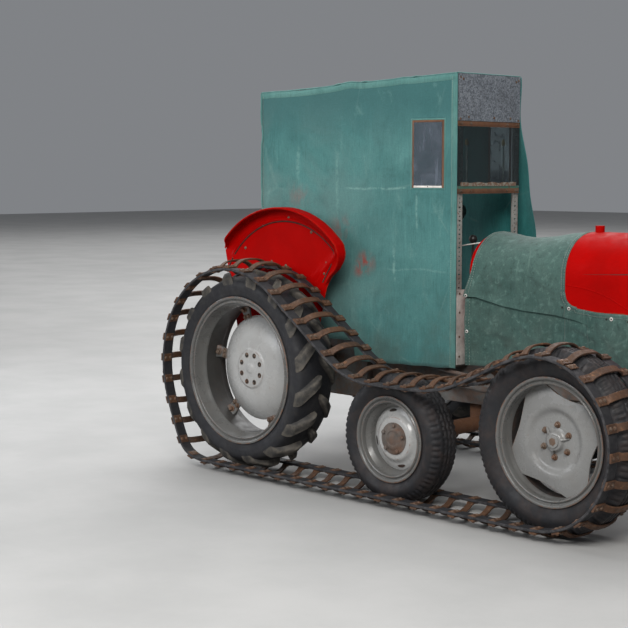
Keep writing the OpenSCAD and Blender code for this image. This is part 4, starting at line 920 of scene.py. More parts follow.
def rear_tyre(side, name, body):
    shape = Shape()
    centre = (0.0, REAR_Z)
    half = [tuple(p) for p in bend([(332.6, 95.5), (344, 100.5), (353, 103.5), (368, 108.5), (385, 112),
                                    (399, 112.6), (412, 108.5), (424, 99.5), (434, 80), (440, 58), (443, 32),
                                    (444, 0)], 3)]
    outline = half + [(r, -y) for r, y in reversed(half[:-1])]
    rows = len(outline)
    steps = 160
    points, edge = [], []
    for k in range(steps):
        a = 2 * math.pi * k / steps
        for r, y in outline:
            rib = 1.6 * bell(r - 360, 3.0) + 1.0 * bell(r - 378, 2.2) if abs(y) > 95 else 0
            points.append(wheel_point(centre, side, r, a, y + math.copysign(rib, y)))
            edge.append(0.6 if 330 < r < 352 else 0.0)
    shape.add(points, facing(grid_faces(steps, rows, True, True), side), 0, edge=edge)
    rng = random.Random(7)
    stations = [((3, 441), (5, 466), 0.0, 18), ((14, 442), (14, 475), 1.5, 28),
                ((26, 442), (26, 477.5), 2.8, 36), ((46, 440), (46, 472.5), 5.2, 42),
                ((68, 435), (68, 461.5), 7.8, 48), ((86, 428), (86, 452.5), 10.3, 53),
                ((95, 421), (96, 447.6), 11.6, 56), ((100, 414), (102, 434), 12.7, 58),
                ((104, 408), (107.5, 420), 13.4, 58), ((108, 402), (111, 410), 13.9, 54),
                ((110, 399), (111.5, 402), 14.1, 48)]
    for half_side in (1, -1):
        for k in range(LUG_COUNT):
            start = 360.0 * (k + (0.5 if half_side < 0 else 0.0)) / LUG_COUNT
            worn = rng.uniform(0.0, 2.5)
            sections, edges = [], []
            for (yb, rb), (yt, rt), sweep, width in stations:
                rt = rt - worn * (1 if rt > 440 else 0.2)
                section = []
                for c, s in ((-0.6, -0.12), (-0.53, 0.35), (-0.47, 0.82), (-0.38, 1.0), (0.0, 1.0),
                             (0.38, 1.0), (0.47, 0.82), (0.53, 0.35), (0.6, -0.12)):
                    r, y = rb + (rt - rb) * min(s, 1.0), yb + (yt - yb) * s
                    a = math.radians(start - sweep) + c * width * LUG_BREADTH / r
                    section.append(wheel_point(centre, side, r, a, y * half_side))
                    edges.append(0.9 if s > 0.7 and abs(c) > 0.3 else 0.3)
                sections.append(section)
            points, faces = loft(sections)
            shape.add(points, facing(faces, side * half_side), 1, edge=edges)
    return shape.build(name, ["tyre", "lug"], body, [name], 50)


def road_tyre(side, name, body, centre, bead, wall, shoulder, crown, steps, groove, notches, lift):
    """A small tyre with ribs parted by grooves, and notched shoulders."""
    shape = Shape()
    half = bend([bead[0], bead[1], wall, shoulder], 7)
    tread = bend([shoulder, ((shoulder[0] + crown[0]) / 2 + 2.2, (shoulder[1] + crown[1]) / 2 + 2.5), crown,
                  (crown[0] + lift, 0.0)], 7)
    outline = [tuple(p) for p in half[:-1]] + [tuple(p) for p in tread]
    outline = outline + [(r, -y) for r, y in reversed(outline[:-1])]
    rows = len(outline)
    points, edge = [], []
    for k in range(steps):
        a = 2 * math.pi * k / steps
        zig = (2.0 * abs((k / steps * groove) % 1.0 - 0.5) - 0.5) * 5.0
        notch = (k / steps * notches) % 1.0
        for r, y in outline:
            cut = 0.0
            if r > shoulder[0] + 1:
                for at_y in TREAD_GROOVES:
                    cut = max(cut, 1.0 if abs(y - at_y - zig) < 3.4 else 0.0)
                cut *= 6.5
            lip = smooth((r - shoulder[0] + 12) / 8) * (1 - smooth((crown[0] - 4 - r) / -4))
            if abs(y) > crown[1] - 2 and notch < 0.42:
                cut = max(cut, 4.2 * lip)
            line = 1.2 * bell(r - wall[0] - 14, 2.4) - 1.0 * bell(r - wall[0] + 18, 2.0)
            line = line if abs(y) > crown[1] and r < shoulder[0] - 6 else 0.0
            scale = 1 - cut / max(r, 1)
            tuck = cut * 0.35 if abs(y) > crown[1] else 0
            out = y + math.copysign(line, y) - math.copysign(tuck, y)
            points.append(wheel_point(centre, side, r * scale, a, out))
            edge.append(0.7 if r < bead[1][0] + 3 else (0.5 if cut == 0 and r > shoulder[0] else 0.0))
    shape.add(points, facing(grid_faces(steps, rows, True, True), side), 0, edge=edge)
    return shape.build(name, ["tyre_small"], body, [name], 42)


for side, word in SIDES:
    make_belts(side, f"track_belts_{word}").name = f"belts_{word}"
    make_cleats(side, f"track_cleats_{word}").name = f"cleats_{word}"
    rear_wheel(side, f"wheel_rear_{word}", f"rear_wheel_{word}").name = f"rear_rim_{word}"
    mid_wheel(side, f"wheel_mid_{word}", f"mid_wheel_{word}").name = f"mid_rim_{word}"
    front_wheel(side, f"wheel_front_{word}", f"front_wheel_{word}").name = f"front_rim_{word}"
    rear_tyre(side, f"tyre_rear_{word}", f"rear_wheel_{word}").name = f"rear_tread_{word}"
    for axle, sizes in SMALL_TYRES.items():
        tyre = road_tyre(side, f"tyre_{axle}_{word}", f"{axle}_wheel_{word}", **sizes)
        tyre.name = f"{axle}_tread_{word}"


# panels: outline of the bonnet, from the right lower edge over the top to the left one
def hood_line(half, low, crest, rise, side_steps=10, arc_steps=24):
    right = [(-half, low + (crest - rise - low) * i / side_steps) for i in range(side_steps)]
    for i in range(arc_steps + 1):
        a = math.pi / 2 * i / arc_steps
        right.append((-half * max(0.0, math.cos(a)) ** 0.94, crest - rise + rise * math.sin(a) ** 0.94))
    right[-1] = (0.0, crest)
    return right + [(-y, z) for y, z in reversed(right[:-1])]


def dip(x, z):
    """How far the bonnet's top is pressed down under the apron."""
    deep = np.interp(x, (985, 1020, 1100, 1172, 1300, 1400, 1480), (20, 22, 34, 36, 25, 10, 0))
    return float(deep) * max(0.0, (z - 985) / 190)


def shell(shape, rows, thick, slot=0, edge=None):
    """An open sheet of points in rows, with a second face at its inner side and its rim closed."""
    p = np.array(rows, float)
    n, m = p.shape[:2]
    du = np.gradient(p, axis=0)
    dv = np.gradient(p, axis=1)
    normal = np.cross(dv, du)
    normal /= np.maximum(np.linalg.norm(normal, axis=2, keepdims=True), 1e-9)
    inner = p - normal * thick
    outer_faces = grid_faces(n, m)
    k = n * m
    faces = [f[::-1] for f in outer_faces] + [tuple(i + k for i in f) for f in outer_faces]
    ring = (list(range(m)) + [i * m + m - 1 for i in range(1, n)]
            + [(n - 1) * m + j for j in range(m - 2, -1, -1)]
            + [i * m for i in range(n - 2, 0, -1)])
    for a, b in zip(ring, ring[1:] + ring[:1]):
        faces.append((a, b, b + k, a + k))
    values = {"edge": list(np.array(edge, float).ravel()) * 2} if edge is not None else {}
    shape.add([tuple(q) for q in p.reshape(-1, 3)] + [tuple(q) for q in inner.reshape(-1, 3)], faces, slot,
              **values)
    return p, normal


def make_bonnet():
    shape = Shape()
    line = hood_line(BONNET_HALF, BONNET_LOW, BONNET_CREST, BONNET_RISE)
    xs = np.linspace(BONNET_REAR, NOSE_REAR - 1.5, 60)
    rows = []
    for x in xs:
        row = []
        for y, z in line:
            dent = 0.8 * wobble(x, y, z, 0.006)
            row.append((x, y * (1 - abs(dent) / 400), z - max(0.0, dent) * 0.5 - dip(x, z)))
        rows.append(row)
    edge = [[1.0 if j in (0, len(line) - 1) or i in (0, len(xs) - 1) else 0.0 for j in range(len(line))]
            for i in range(len(xs))]
    shell(shape, rows, 3.4, 0, edge)
    # pressed seam and swage line on each side; the seam is a dark tube, painted shade in its groove, and a
    # dark tube under the swage is its painted shadow
    for side in (-1, 1):
        y = side * (BONNET_HALF + 0.35)
        seam = [(x, y, 1001 + 0.045 * (x - 1497)) for x in np.linspace(SWAGE_REAR, NOSE_REAR - 6, 40)]
        shape.add(*tube(seam, 2.2, 6), 1)
        swage = bend([(SWAGE_REAR, y, 957), (1497, y, 956), (1600, y, 944), (1700, y, 918), (1790, y, 876),
                      (NOSE_REAR - 6, y, 854)], 10)
        shape.add(*tube(swage, 4.2, 10), 0)
        shape.add(*tube([(x, q, z - 4.4) for x, q, z in swage], 1.5, 6), 1)
        for x in (1540, 1690, 1830):
            dome_bolt(shape, (x, side * (BONNET_HALF - 0.2), 980 + 0.045 * (x - 1497)), (0, side, 0), 6, 2.5,
                      2)
    return shape.build("bonnet_panel", ["red", "hole", "bolt"], replaces=["bonnet"])


def make_nose():
    shape = Shape()
    rows, edge = [], []
    corner, brow = 85.0, 170.0  # radii of the corners, from above, and of the upper edge
    xs = [NOSE_REAR, 1856, 1866, 1880, 1895, 1910, 1925, 1940, 1955, 1970, 1984, 1996, 2006, 2014, 2020, 2025,
          2028, NOSE_FACE]
    for x in xs:
        past_corner, past_brow = max(0.0, x - NOSE_FRONT + corner), max(0.0, x - NOSE_FRONT + brow)
        half = BONNET_HALF - corner + math.sqrt(corner ** 2 - past_corner ** 2)
        crest = BONNET_CREST - brow + math.sqrt(brow ** 2 - past_brow ** 2)
        low = NOSE_LOW + max(0.0, x - 2000) * 0.2
        line = hood_line(half, low, crest, BONNET_RISE * half / BONNET_HALF, 14, 22)
        rows.append([(x, y, z) for y, z in line])
        edge.append([1.0 if j in (0, len(line) - 1) or x == NOSE_REAR else 0.0 for j in range(len(line))])
    p, _ = shell(shape, rows, 3.6, 0, edge)
    last = p[-1]
    gw, low, high = 98.0, 630.0, 980.0
    inner = []
    for q in last:
        y = max(-gw, min(gw, q[1] * 1.02))
        z = max(low, min(high, q[2]))
        if abs(q[1]) * (high - low) > abs(q[2] - (low + high) / 2) * 2 * gw:
            y = math.copysign(gw, q[1])
        inner.append((NOSE_FACE, y, z))
    outer = [tuple(q) for q in last]
    deep = [(2014.0, y, z) for _, y, z in inner]
    shape.ribbon([outer, inner, deep])
    chin = [outer[0], outer[-1], inner[-1], inner[0], deep[-1], deep[0]]
    shape.add(chin, [(0, 3, 2, 1), (3, 5, 4, 2)], 0)
    floor = [(1900, -190, NOSE_LOW), (1900, 190, NOSE_LOW), outer[-1], outer[0]]
    shape.add(floor, [(0, 1, 2, 3)], 0)
    return shape.build("nose_cowl", ["red"], replaces=["nose"])


def make_fender(side, name):
    shape = Shape()
    front = [tuple(q) for q in bend([(430, 1098), (438, 1045), (402, 984), (330, 917), (282, 760),
                                     (250, FENDER_FOOT)], 5)]
    corners = front + [(-300, FENDER_FOOT), (-400, 1043)]

    def outline(turn):
        d = (math.cos(turn), math.sin(turn))
        reach = FENDER_R
        for (x0, z0), (x1, z1) in zip(corners, corners[1:]):
            ex, ez = x1 - x0, z1 - z0
            den = d[0] * ez - d[1] * ex
            if abs(den) < 1e-9:
                continue
            t = ((x0 - FENDER_X) * ez - (z0 - FENDER_Z) * ex) / den
            s = ((x0 - FENDER_X) * d[1] - (z0 - FENDER_Z) * d[0]) / den
            if t > 0 and -1e-6 <= s <= 1 + 1e-6:
                reach = min(reach, t)
        return reach

    def inset(x, z):
        """Distance of a place from the fender's edge, other than its lower one."""
        d = FENDER_R - math.hypot(x - FENDER_X, z - FENDER_Z)
        for (x0, z0), (x1, z1) in list(zip(front, front[1:])) + [(corners[-2], corners[-1])]:
            run = math.hypot(x1 - x0, z1 - z0)
            t = min(run, max(0.0, ((x - x0) * (x1 - x0) + (z - z0) * (z1 - z0)) / run))
            d = min(d, math.hypot(x - x0 - t * (x1 - x0) / run, z - z0 - t * (z1 - z0) / run))
        return d

    turns = sorted(set([math.atan2(z - FENDER_Z, x - FENDER_X) for x, z in corners]
                       + [math.radians(-180 + 2.25 * k) for k in range(160)]))
    shares = [0.02 + 0.76 * i / 12 for i in range(12)] + [0.78 + 0.22 * i / 34 for i in range(35)]
    rows, edge = [], []
    for s in shares:
        row, wear = [], []
        for a in turns:
            r = outline(a) * s
            x, z = FENDER_X + r * math.cos(a), FENDER_Z + r * math.sin(a)
            d = inset(x, z)
            press = 8.0 * bell(d - 58, 7.0) * smooth((z - 860) / 80)
            low = (x - 190) * 0.62 + (z - 905) * -0.785
            press += 6.0 * bell(low, 7.0) * smooth((x - 150) / 40) * smooth((380 - x) / 30)
            press += 1.2 * wobble(x, 0, z, 0.006)
            row.append((x, side * (FENDER_PLANE + 2.0 + max(press, -0.6)), z))
            wear.append(1.0 if s > 0.995 else 0.0)
        rows.append(row + row[:1])
        edge.append(wear + wear[:1])
    if side > 0:
        rows, edge = [r[::-1] for r in rows], [e[::-1] for e in edge]
    shell(shape, [r[::-1] for r in rows], 3.2, 0, [e[::-1] for e in edge])
    # outward flange with a rolled edge, deeper at the top, narrowing down the front
    arc = [a for a in turns if math.sin(a) > 0 and outline(a) > FENDER_R - 0.5]
    path = [(FENDER_X + FENDER_R * math.cos(a), FENDER_Z + FENDER_R * math.sin(a))
            for a in np.linspace(max(arc), min(arc), 90)]
    path += [q for q in front[1:] if q[1] > 900]
    run = np.gradient(np.array(path), axis=0)
    run /= np.linalg.norm(run, axis=1, keepdims=True)
    rows, edge = [], []
    for i, (x, z) in enumerate(path):
        inward = (run[i][1], -run[i][0])
        width = 20 + 41 * smooth(i / 7) * smooth((len(path) - 1 - i) / 16)
        row, wear = [], []
        for share, drop in ((0, 6), (0.02, 2.2), (0.06, 0.4), (0.2, 0.0), (0.5, 0.0), (0.8, 0.0), (0.94, 0.6),
                            (1.0, 4.0), (0.98, 8.0), (0.93, 10.0)):
            row.append((x + inward[0] * (drop + 0.2), side * (FENDER_PLANE + width * share),
                        z + inward[1] * (drop + 0.2)))
            wear.append(0.62 if 0.9 < share else 0.0)
        rows.append(row)
        edge.append(wear)
    if side > 0:
        rows, edge = rows[::-1], edge[::-1]
    shell(shape, rows, 2.4, 0, edge)
    # a dark tube along the pressed rib: painted shadow under it
    ring = [(FENDER_X + 477 * math.cos(a), FENDER_Z + 477 * math.sin(a)) for a in np.linspace(2.62, 0.86, 50)]
    ring += [tuple(q) for q in bend([ring[-1], (368, 1052), (346, 1000), (318, 958), (292, 918)], 6)[1:]]
    shape.add(*tube([(x, side * (FENDER_PLANE + 2.4), z) for x, z in ring], 3.6, 6), 2)
    for x, z in ((-120, 1175), (60, 1215), (215, 1150), (318, 1010), (300, 960), (-250, 1060), (40, 985),
                 (-60, 1000)):
        dome_bolt(shape, (x, side * (FENDER_PLANE + 2), z), (0, side, 0), 8, 4, 1)
    return shape.build(f"fender_sheet_{name}", ["red", "bolt", "hole"], replaces=[f"fender_{name}"],
                       sharp=60)


def make_dash():
    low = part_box("dash_panel")[0][2] * 1000
    sections = []
    for x, inset in ((962, 9), (962, 3), (963.5, 0.8), (966, 0), (998, 0), (1000.5, 0.8), (1002, 3),
                     (1002, 9)):
        line = hood_line(BONNET_HALF - 1.0 - inset, low + inset, BONNET_CREST - 20 - inset,
                         BONNET_RISE - 20 - inset)
        sections.append([(x, y, z) for y, z in line])
    shape = Shape()
    shape.add(*loft(sections), 0)
    shape.add(*tube([(796, -120, 1089), (880, -120, 1103), (983, -120, 1118)], 3.0, 10), 1)
    return shape.build("dash_plate", ["red", "alloy"], replaces=["dash_panel"])


make_bonnet()
make_nose()
make_dash()
for side, word in SIDES:
    make_fender(side, word)


# canvas
def cab_top(x):
    return CAB_FRONT_TOP - (CAB_FRONT - x) * (CAB_FRONT_TOP - CAB_REAR_TOP) / (CAB_FRONT + CAB_BACK)


def cab_half(x):
    return CAB_FRONT_HALF + (CAB_FRONT - x) * (CAB_REAR_HALF - CAB_FRONT_HALF) / (CAB_FRONT + CAB_BACK)


def top_wave(x):
    """Lumps and sags of the canvas along its upper edge."""
    along = (x + CAB_BACK) / (CAB_FRONT + CAB_BACK)
    ends = smooth(min(along, 1 - along) * 9)
    bump = 8.0 * bell(along - 0.47, 0.045) + 3.0 * bell(along - 0.74, 0.03)
    return ends * (bump - 5.0 * math.sin(math.pi * min(1.0, along / 0.47)) ** 2
                   * (1 if along < 0.47 else 0.7))


def upper_edge(u):
    """Height of the canvas at its upper edge, u back along a cab side."""
    x = CAB_FRONT - u * math.cos(SLANT)
    return cab_top(x) + top_wave(x)


def rear_sway(z):
    """How far the rear edge of a cab side is drawn forward."""
    return max(0.0, 6.5 * math.sin(z * 0.0165) + 3.4 * math.sin(z * 0.047 + 1))


def thicken(obj, thick):
    """Gives a sheet its thickness, in metres, with the second material on its inner face, a darker copy of
    the canvas painted as shade; returns its area.
    """
    area = sum(f.area for f in obj.data.polygons)
    solid = obj.modifiers.new("thickness", "SOLIDIFY")
    solid.thickness, solid.offset, solid.material_offset = thick, -1.0, 1
    return area


SLANT = math.atan2(CAB_REAR_HALF - CAB_FRONT_HALF, CAB_FRONT + CAB_BACK)
SIDE_LENGTH = math.hypot(CAB_REAR_HALF - CAB_FRONT_HALF, CAB_FRONT + CAB_BACK)
POST_X, POST_INSET = CAB_FRONT - 4.0, 4.0 / math.cos(SLANT) + 1.0


def side_place(side, u, z, out):
    """A point of a cab side: u back from its front edge, out from its face."""
    x = CAB_FRONT - u * math.cos(SLANT) + out * math.sin(SLANT)
    y = CAB_FRONT_HALF + u * math.sin(SLANT) + out * math.cos(SLANT)
    return (x, side * y, z)


def side_swell(side, u, z):
    """How far the canvas of a cab side stands off its flat place."""
    posts = min(u / 45, (SIDE_LENGTH - u) / 60, 1.0)
    free = smooth(posts) * smooth((cab_top(0) - z) / 90)
    billow = -5.0 * math.sin(math.pi * min(1, max(0, u / SIDE_LENGTH))) * free
    folds = 2.6 * wobble(u, z * 0.16, side * 40, 0.011) + 1.5 * wobble(u, z * 0.3, side * 90, 0.03)
    below = CAB_REAR_TOP - z
    drag = 1.6 * math.sin((u * 0.8 + below * 0.55) * 0.035) * math.exp(-(below + (SIDE_LENGTH - u)) / 420)
    small = 0.7 * wobble(u, z, side * 17, 0.045)
    out = billow + (folds + small) * (0.25 + 0.75 * free) + drag
    frame_d = max(WINDOW_FRONT - u, u - WINDOW_BACK, WINDOW_LOW - z, z - WINDOW_HIGH)
    out *= smooth((frame_d + 20) / 60) if frame_d < 60 else 1.0
    low = 1.0 if z > 650 else 0.6
    out = max(out, -0.4 if posts < 1 else -9.0) * low
    if side > 0:
        flare = 105.0 * smooth((1800 - z) / 760) * (1 - smooth((z - 545) / -40)) * bell(u, 150)
        out += flare + 6 * math.sin(z * 0.018) * bell(u, 90)
    return out


def make_cab_side(side, name):
    shape = Shape()
    us = sorted(set([0, 6, 14, 24, 34, 46, 58, 66, 74, 90, 108, 126, 144, 162, 180, 200, 218, 231, 240, 252]
                    + [252 + 20 * k for k in range(1, 41)]
                    + [SIDE_LENGTH - 14, SIDE_LENGTH - 6, SIDE_LENGTH]))
    us = [u for u in us if u <= SIDE_LENGTH]
    notch = (CAB_FRONT - CAB_NOTCH) / math.cos(SLANT)
    us = sorted(set([u for u in us if abs(u - notch) > 6] + [notch]))
    count = 66
    points, edge = [], []
    for u in us:
        x = CAB_FRONT - u * math.cos(SLANT)
        low = SIDE_LOW if u <= notch else SIDE_LOW_REAR
        top = cab_top(x) - 5.0 + top_wave(x)
        zs = np.linspace(low, top, count)
        for zw in (WINDOW_LOW, WINDOW_HIGH):
            zs[np.argmin(abs(zs - zw))] = zw
        for j, z in enumerate(zs):
            rim_d = min(u, SIDE_LENGTH - u)
            z = z + (1.6 * math.sin(u * 0.05) if j == 0 else 0)
            sway = rear_sway(z) if u > SIDE_LENGTH - 1 else 0.0
            points.append(side_place(side, u - sway, z, side_swell(side, u, z)))
            edge.append(1.0 if rim_d < 3 or j in (0, count - 1) else 0.0)
    n = len(us)
    faces = []
    for i in range(n - 1):
        for j in range(count - 1):
            zc = (points[i * count + j][2] + points[i * count + j + 1][2]) / 2
            uc = (us[i] + us[i + 1]) / 2
            if WINDOW_FRONT < uc < WINDOW_BACK and WINDOW_LOW < zc < WINDOW_HIGH:
                continue
            faces.append((i * count + j, i * count + j + 1, (i + 1) * count + j + 1, (i + 1) * count + j))
    shape.add(points, facing(faces, side), 0, edge=edge)
    obj = shape.build(f"canvas_side_{name}", ["canvas_side", "canvas_inside_painted_shade"], replaces=[f"cab_side_{name}"],
                      sharp=70)
    area = thicken(obj, 0.0024)
    # hems: rolled rear edge, doubled front edge and window edge, stitched
    hem = Shape()
    path = []
    for k in range(120):
        z = SIDE_LOW_REAR + (cab_top(-CAB_BACK) - SIDE_LOW_REAR - 6) * k / 119
        out = side_swell(side, SIDE_LENGTH, z) + 1.5 + 1.2 * wobble(z, 0, 0, 0.02)
        path.append(side_place(side, SIDE_LENGTH - 4.5 - rear_sway(z), z, out))
    sizes = [4.2 + 1.4 * wobble(0, k * 9.0, 0, 0.02) for k in range(120)]
    hem.add(*tube(path, sizes, 8), 0)

    def band(line, width_dir, width, lift):
        rows = []
        for u, z in line:
            row = []
            for w, l in ((0.0, 0.2), (0.06, lift), (0.5, lift * 1.15), (0.94, lift), (1.0, 0.2)):
                uu, zz = u + width_dir[0] * width * w, z + width_dir[1] * width * w
                row.append(side_place(side, uu, zz, side_swell(side, uu, zz) + l))
            rows.append(row)
        hem.ribbon(rows)

    band([(1.0, z) for z in np.linspace(550, cab_top(CAB_FRONT) - 8, 90)], (1, 0), 30, 1.3)
    for u in (60, 231):
        band([(u, z) for z in np.linspace(1352, 1673, 30)], (1, 0), 6, 1.6)
    for z in (1353, 1665):
        band([(u, z) for u in np.linspace(60, 237, 20)], (0, 1), 7, 1.6)
    band([(u, upper_edge(u) - 33) for u in np.linspace(2, SIDE_LENGTH - 3, 80)], (0, 1), 27, 1.5)
    stitch = [[(26.0, z) for z in np.arange(556, 1860, 9.0)],
              [(237.0, z) for z in np.arange(1354, 1672, 8.0)],
              [(SIDE_LENGTH - 15, z) for z in np.arange(646, 1800, 9.0)]]
    for run in stitch:
        for u, z in run:
            a = side_place(side, u, z, side_swell(side, u, z) + 1.7)
            b = side_place(side, u, z + 5.0, side_swell(side, u, z + 5.0) + 1.7)
            hem.add(*tube([a, b], 0.7, 4), 1)
    hem_obj = hem.build(f"canvas_hem_{name}", ["canvas_hem", "thread"], sharp=60)
    return obj


for side, word in SIDES:
    make_cab_side(side, word)


# near its edges the roof lies on the side rails and can't sag below this
RAIL_REACH, RAIL_FLOOR = 64.0, -3.2


def roof_lift(x, y):
    """Height of the roof's canvas over its flat place: sag between the rails, small lumps over the bolts."""
    along = (x + CAB_BACK) / (CAB_FRONT + CAB_BACK)
    across = y / cab_half(x)
    sag = -9.0 * smooth(min(along, 1 - along) * 5) * smooth((1 - abs(across)) * 3)
    fold = 1.4 * wobble(x, y * 0.35, 3, 0.02) * smooth((1 - abs(across)) * 6)
    lumps = 0.0
    for bx in (0.22, 0.41, 0.55, 0.8):
        for by in (-0.96, 0.96):
            lumps += 4.5 * math.exp(-((along - bx) / 0.016) ** 2 - ((across - by) / 0.05) ** 2)
    lift = sag + fold + lumps + top_wave(x) * abs(across) ** 3
    over_rail = (1 - abs(across)) * cab_half(x) < RAIL_REACH
    return max(lift, RAIL_FLOOR) if over_rail else lift


def make_roof():
    shape = Shape()
    rows = []
    for x in np.linspace(CAB_FRONT, -CAB_BACK, 60):
        half = cab_half(x)
        row = []
        for v in np.linspace(-1, 1, 41):
            row.append((x, half * v, cab_top(x) + roof_lift(x, half * v) - 0.6))
        rows.append(row)
    shape.ribbon(rows)
    obj = shape.build("canvas_roof", ["canvas_top", "canvas_inside_painted_shade"], replaces=["cab_roof"],
                      sharp=70)
    area = thicken(obj, 0.0024)
    hem = Shape()
    for side in (-1, 1):
        path, sizes = [], []
        for k in range(140):
            x = CAB_FRONT - 4 - (CAB_FRONT + CAB_BACK - 8) * k / 139
            y = side * (cab_half(x) - 2.2)
            path.append((x, y, cab_top(x) + roof_lift(x, y) - 2.6 + 0.5 * wobble(x, 0, side, 0.05)))
            sizes.append(2.9 + 0.5 * wobble(x, 9, side, 0.04))
        hem.add(*tube(path, sizes, 8), 0)
    for x, inset in ((CAB_FRONT - 3, 3), (-CAB_BACK + 4, 4)):
        path = []
        for v in np.linspace(-1, 1, 60):
            y = (cab_half(x) - inset) * v
            path.append((x, y, cab_top(x) + roof_lift(x, y) - 2.4 + 0.6 * wobble(v * 900, 0, x, 0.03)))
        hem.add(*tube(path, 3.2, 8), 0)
    hem_obj = hem.build("roof_hem", ["canvas_hem"], sharp=60)
    return obj


make_roof()


GROW = 4.0
SIDE_Y = BONNET_HALF + GROW
SEAM_X, CORNER_R, CURTAIN_TOP = APRON_FRONT - 2.0, 60.0, 868.0
CREASES = [((1475, 905), (1270, 1010), 13, 3.4), ((1480, 960), (1330, 1085), 11, 2.8),
           ((1010, 1010), (1190, 930), 15, 3.6), ((1015, 760), (1230, 700), 16, 4.2),
           ((1240, 775), (1430, 640), 17, 4.6), ((1500, 800), (1690, 720), 14, 3.4),
           ((1120, 880), (1085, 1050), 12, 3.0), ((1390, 830), (1360, 600), 20, 4.0),
           ((1640, 830), (1790, 650), 18, 3.6)]


def fold_z(x):
    """Lower edge of the apron where it laps over the curtain."""
    return float(np.interp(x, (985, 1033, 1105, 1176, 1280, 1447, 1545, 1610, 1700),
                           (879, 878, 860, 845, 833, 825, 811, 792, 776)))


def curtain_edge(x):
    """Upper edge of a curtain in front of the apron, with its rounded corner."""
    line = max(BONNET_LOW + 0.5, CURTAIN_TOP - 0.105 * (x - SEAM_X))
    d = SEAM_X + CORNER_R - x
    return line + (CORNER_R - math.sqrt(max(0.0, CORNER_R ** 2 - d * d)) if d > 0 else 0.0)


def apron_puff(x, y, z, side, above):
    """How far the apron's canvas stands off the bonnet's outline."""
    out = 2.6 * wobble(x, z + abs(y), side * 5, 0.012) + 1.3 * wobble(x, z - abs(y), side * 8, 0.035)
    out += 4.0 * abs(wobble(x * 0.5, z * 1.6 + abs(y), 11, 0.01))
    out += math.exp(-(x - APRON_REAR) / 70) * (5 + 3 * math.sin(y * 0.021 + z * 0.008))
    out += 26 * math.exp(-(x - APRON_REAR) / 60) * smooth((1040 - z) / 150)
    if z < 1060:
        for (x0, z0), (x1, z1), wide, high in CREASES:
            run = math.hypot(x1 - x0, z1 - z0)
            t = ((x - x0) * (x1 - x0) + (z - z0) * (z1 - z0)) / run
            d = ((x - x0) * (z1 - z0) - (z - z0) * (x1 - x0)) / run / wide
            ends = smooth(t / 50) * smooth((run - t) / 50) if 0 < t < run else 0.0
            out += high * ends * (math.exp(-d * d) - 0.6 * math.exp(-(d - 1.8) ** 2))
    lap = smooth((1640 - x) / 140)
    if z < 1000:
        gap = z - fold_z(x)
        if above:
            out += (8 + 5 * smooth((1250 - x) / 120)) * math.exp(-gap / 44) * lap
        else:
            out += -3.0 * math.exp(gap / 30) * lap
    if z < 760:
        out += (760 - z) * 0.045 * math.sin(x * 0.011 + side)
    if z > BONNET_LOW - 6:
        near = min(abs(x - SEAM_X), abs(z - curtain_edge(x)) if x > SEAM_X else 1e3)
        out = max(out, 0.25) * (0.3 + 0.7 * smooth(near / 45))
    return max(out, 0.25 if z > BONNET_LOW - 6 else -22.0)


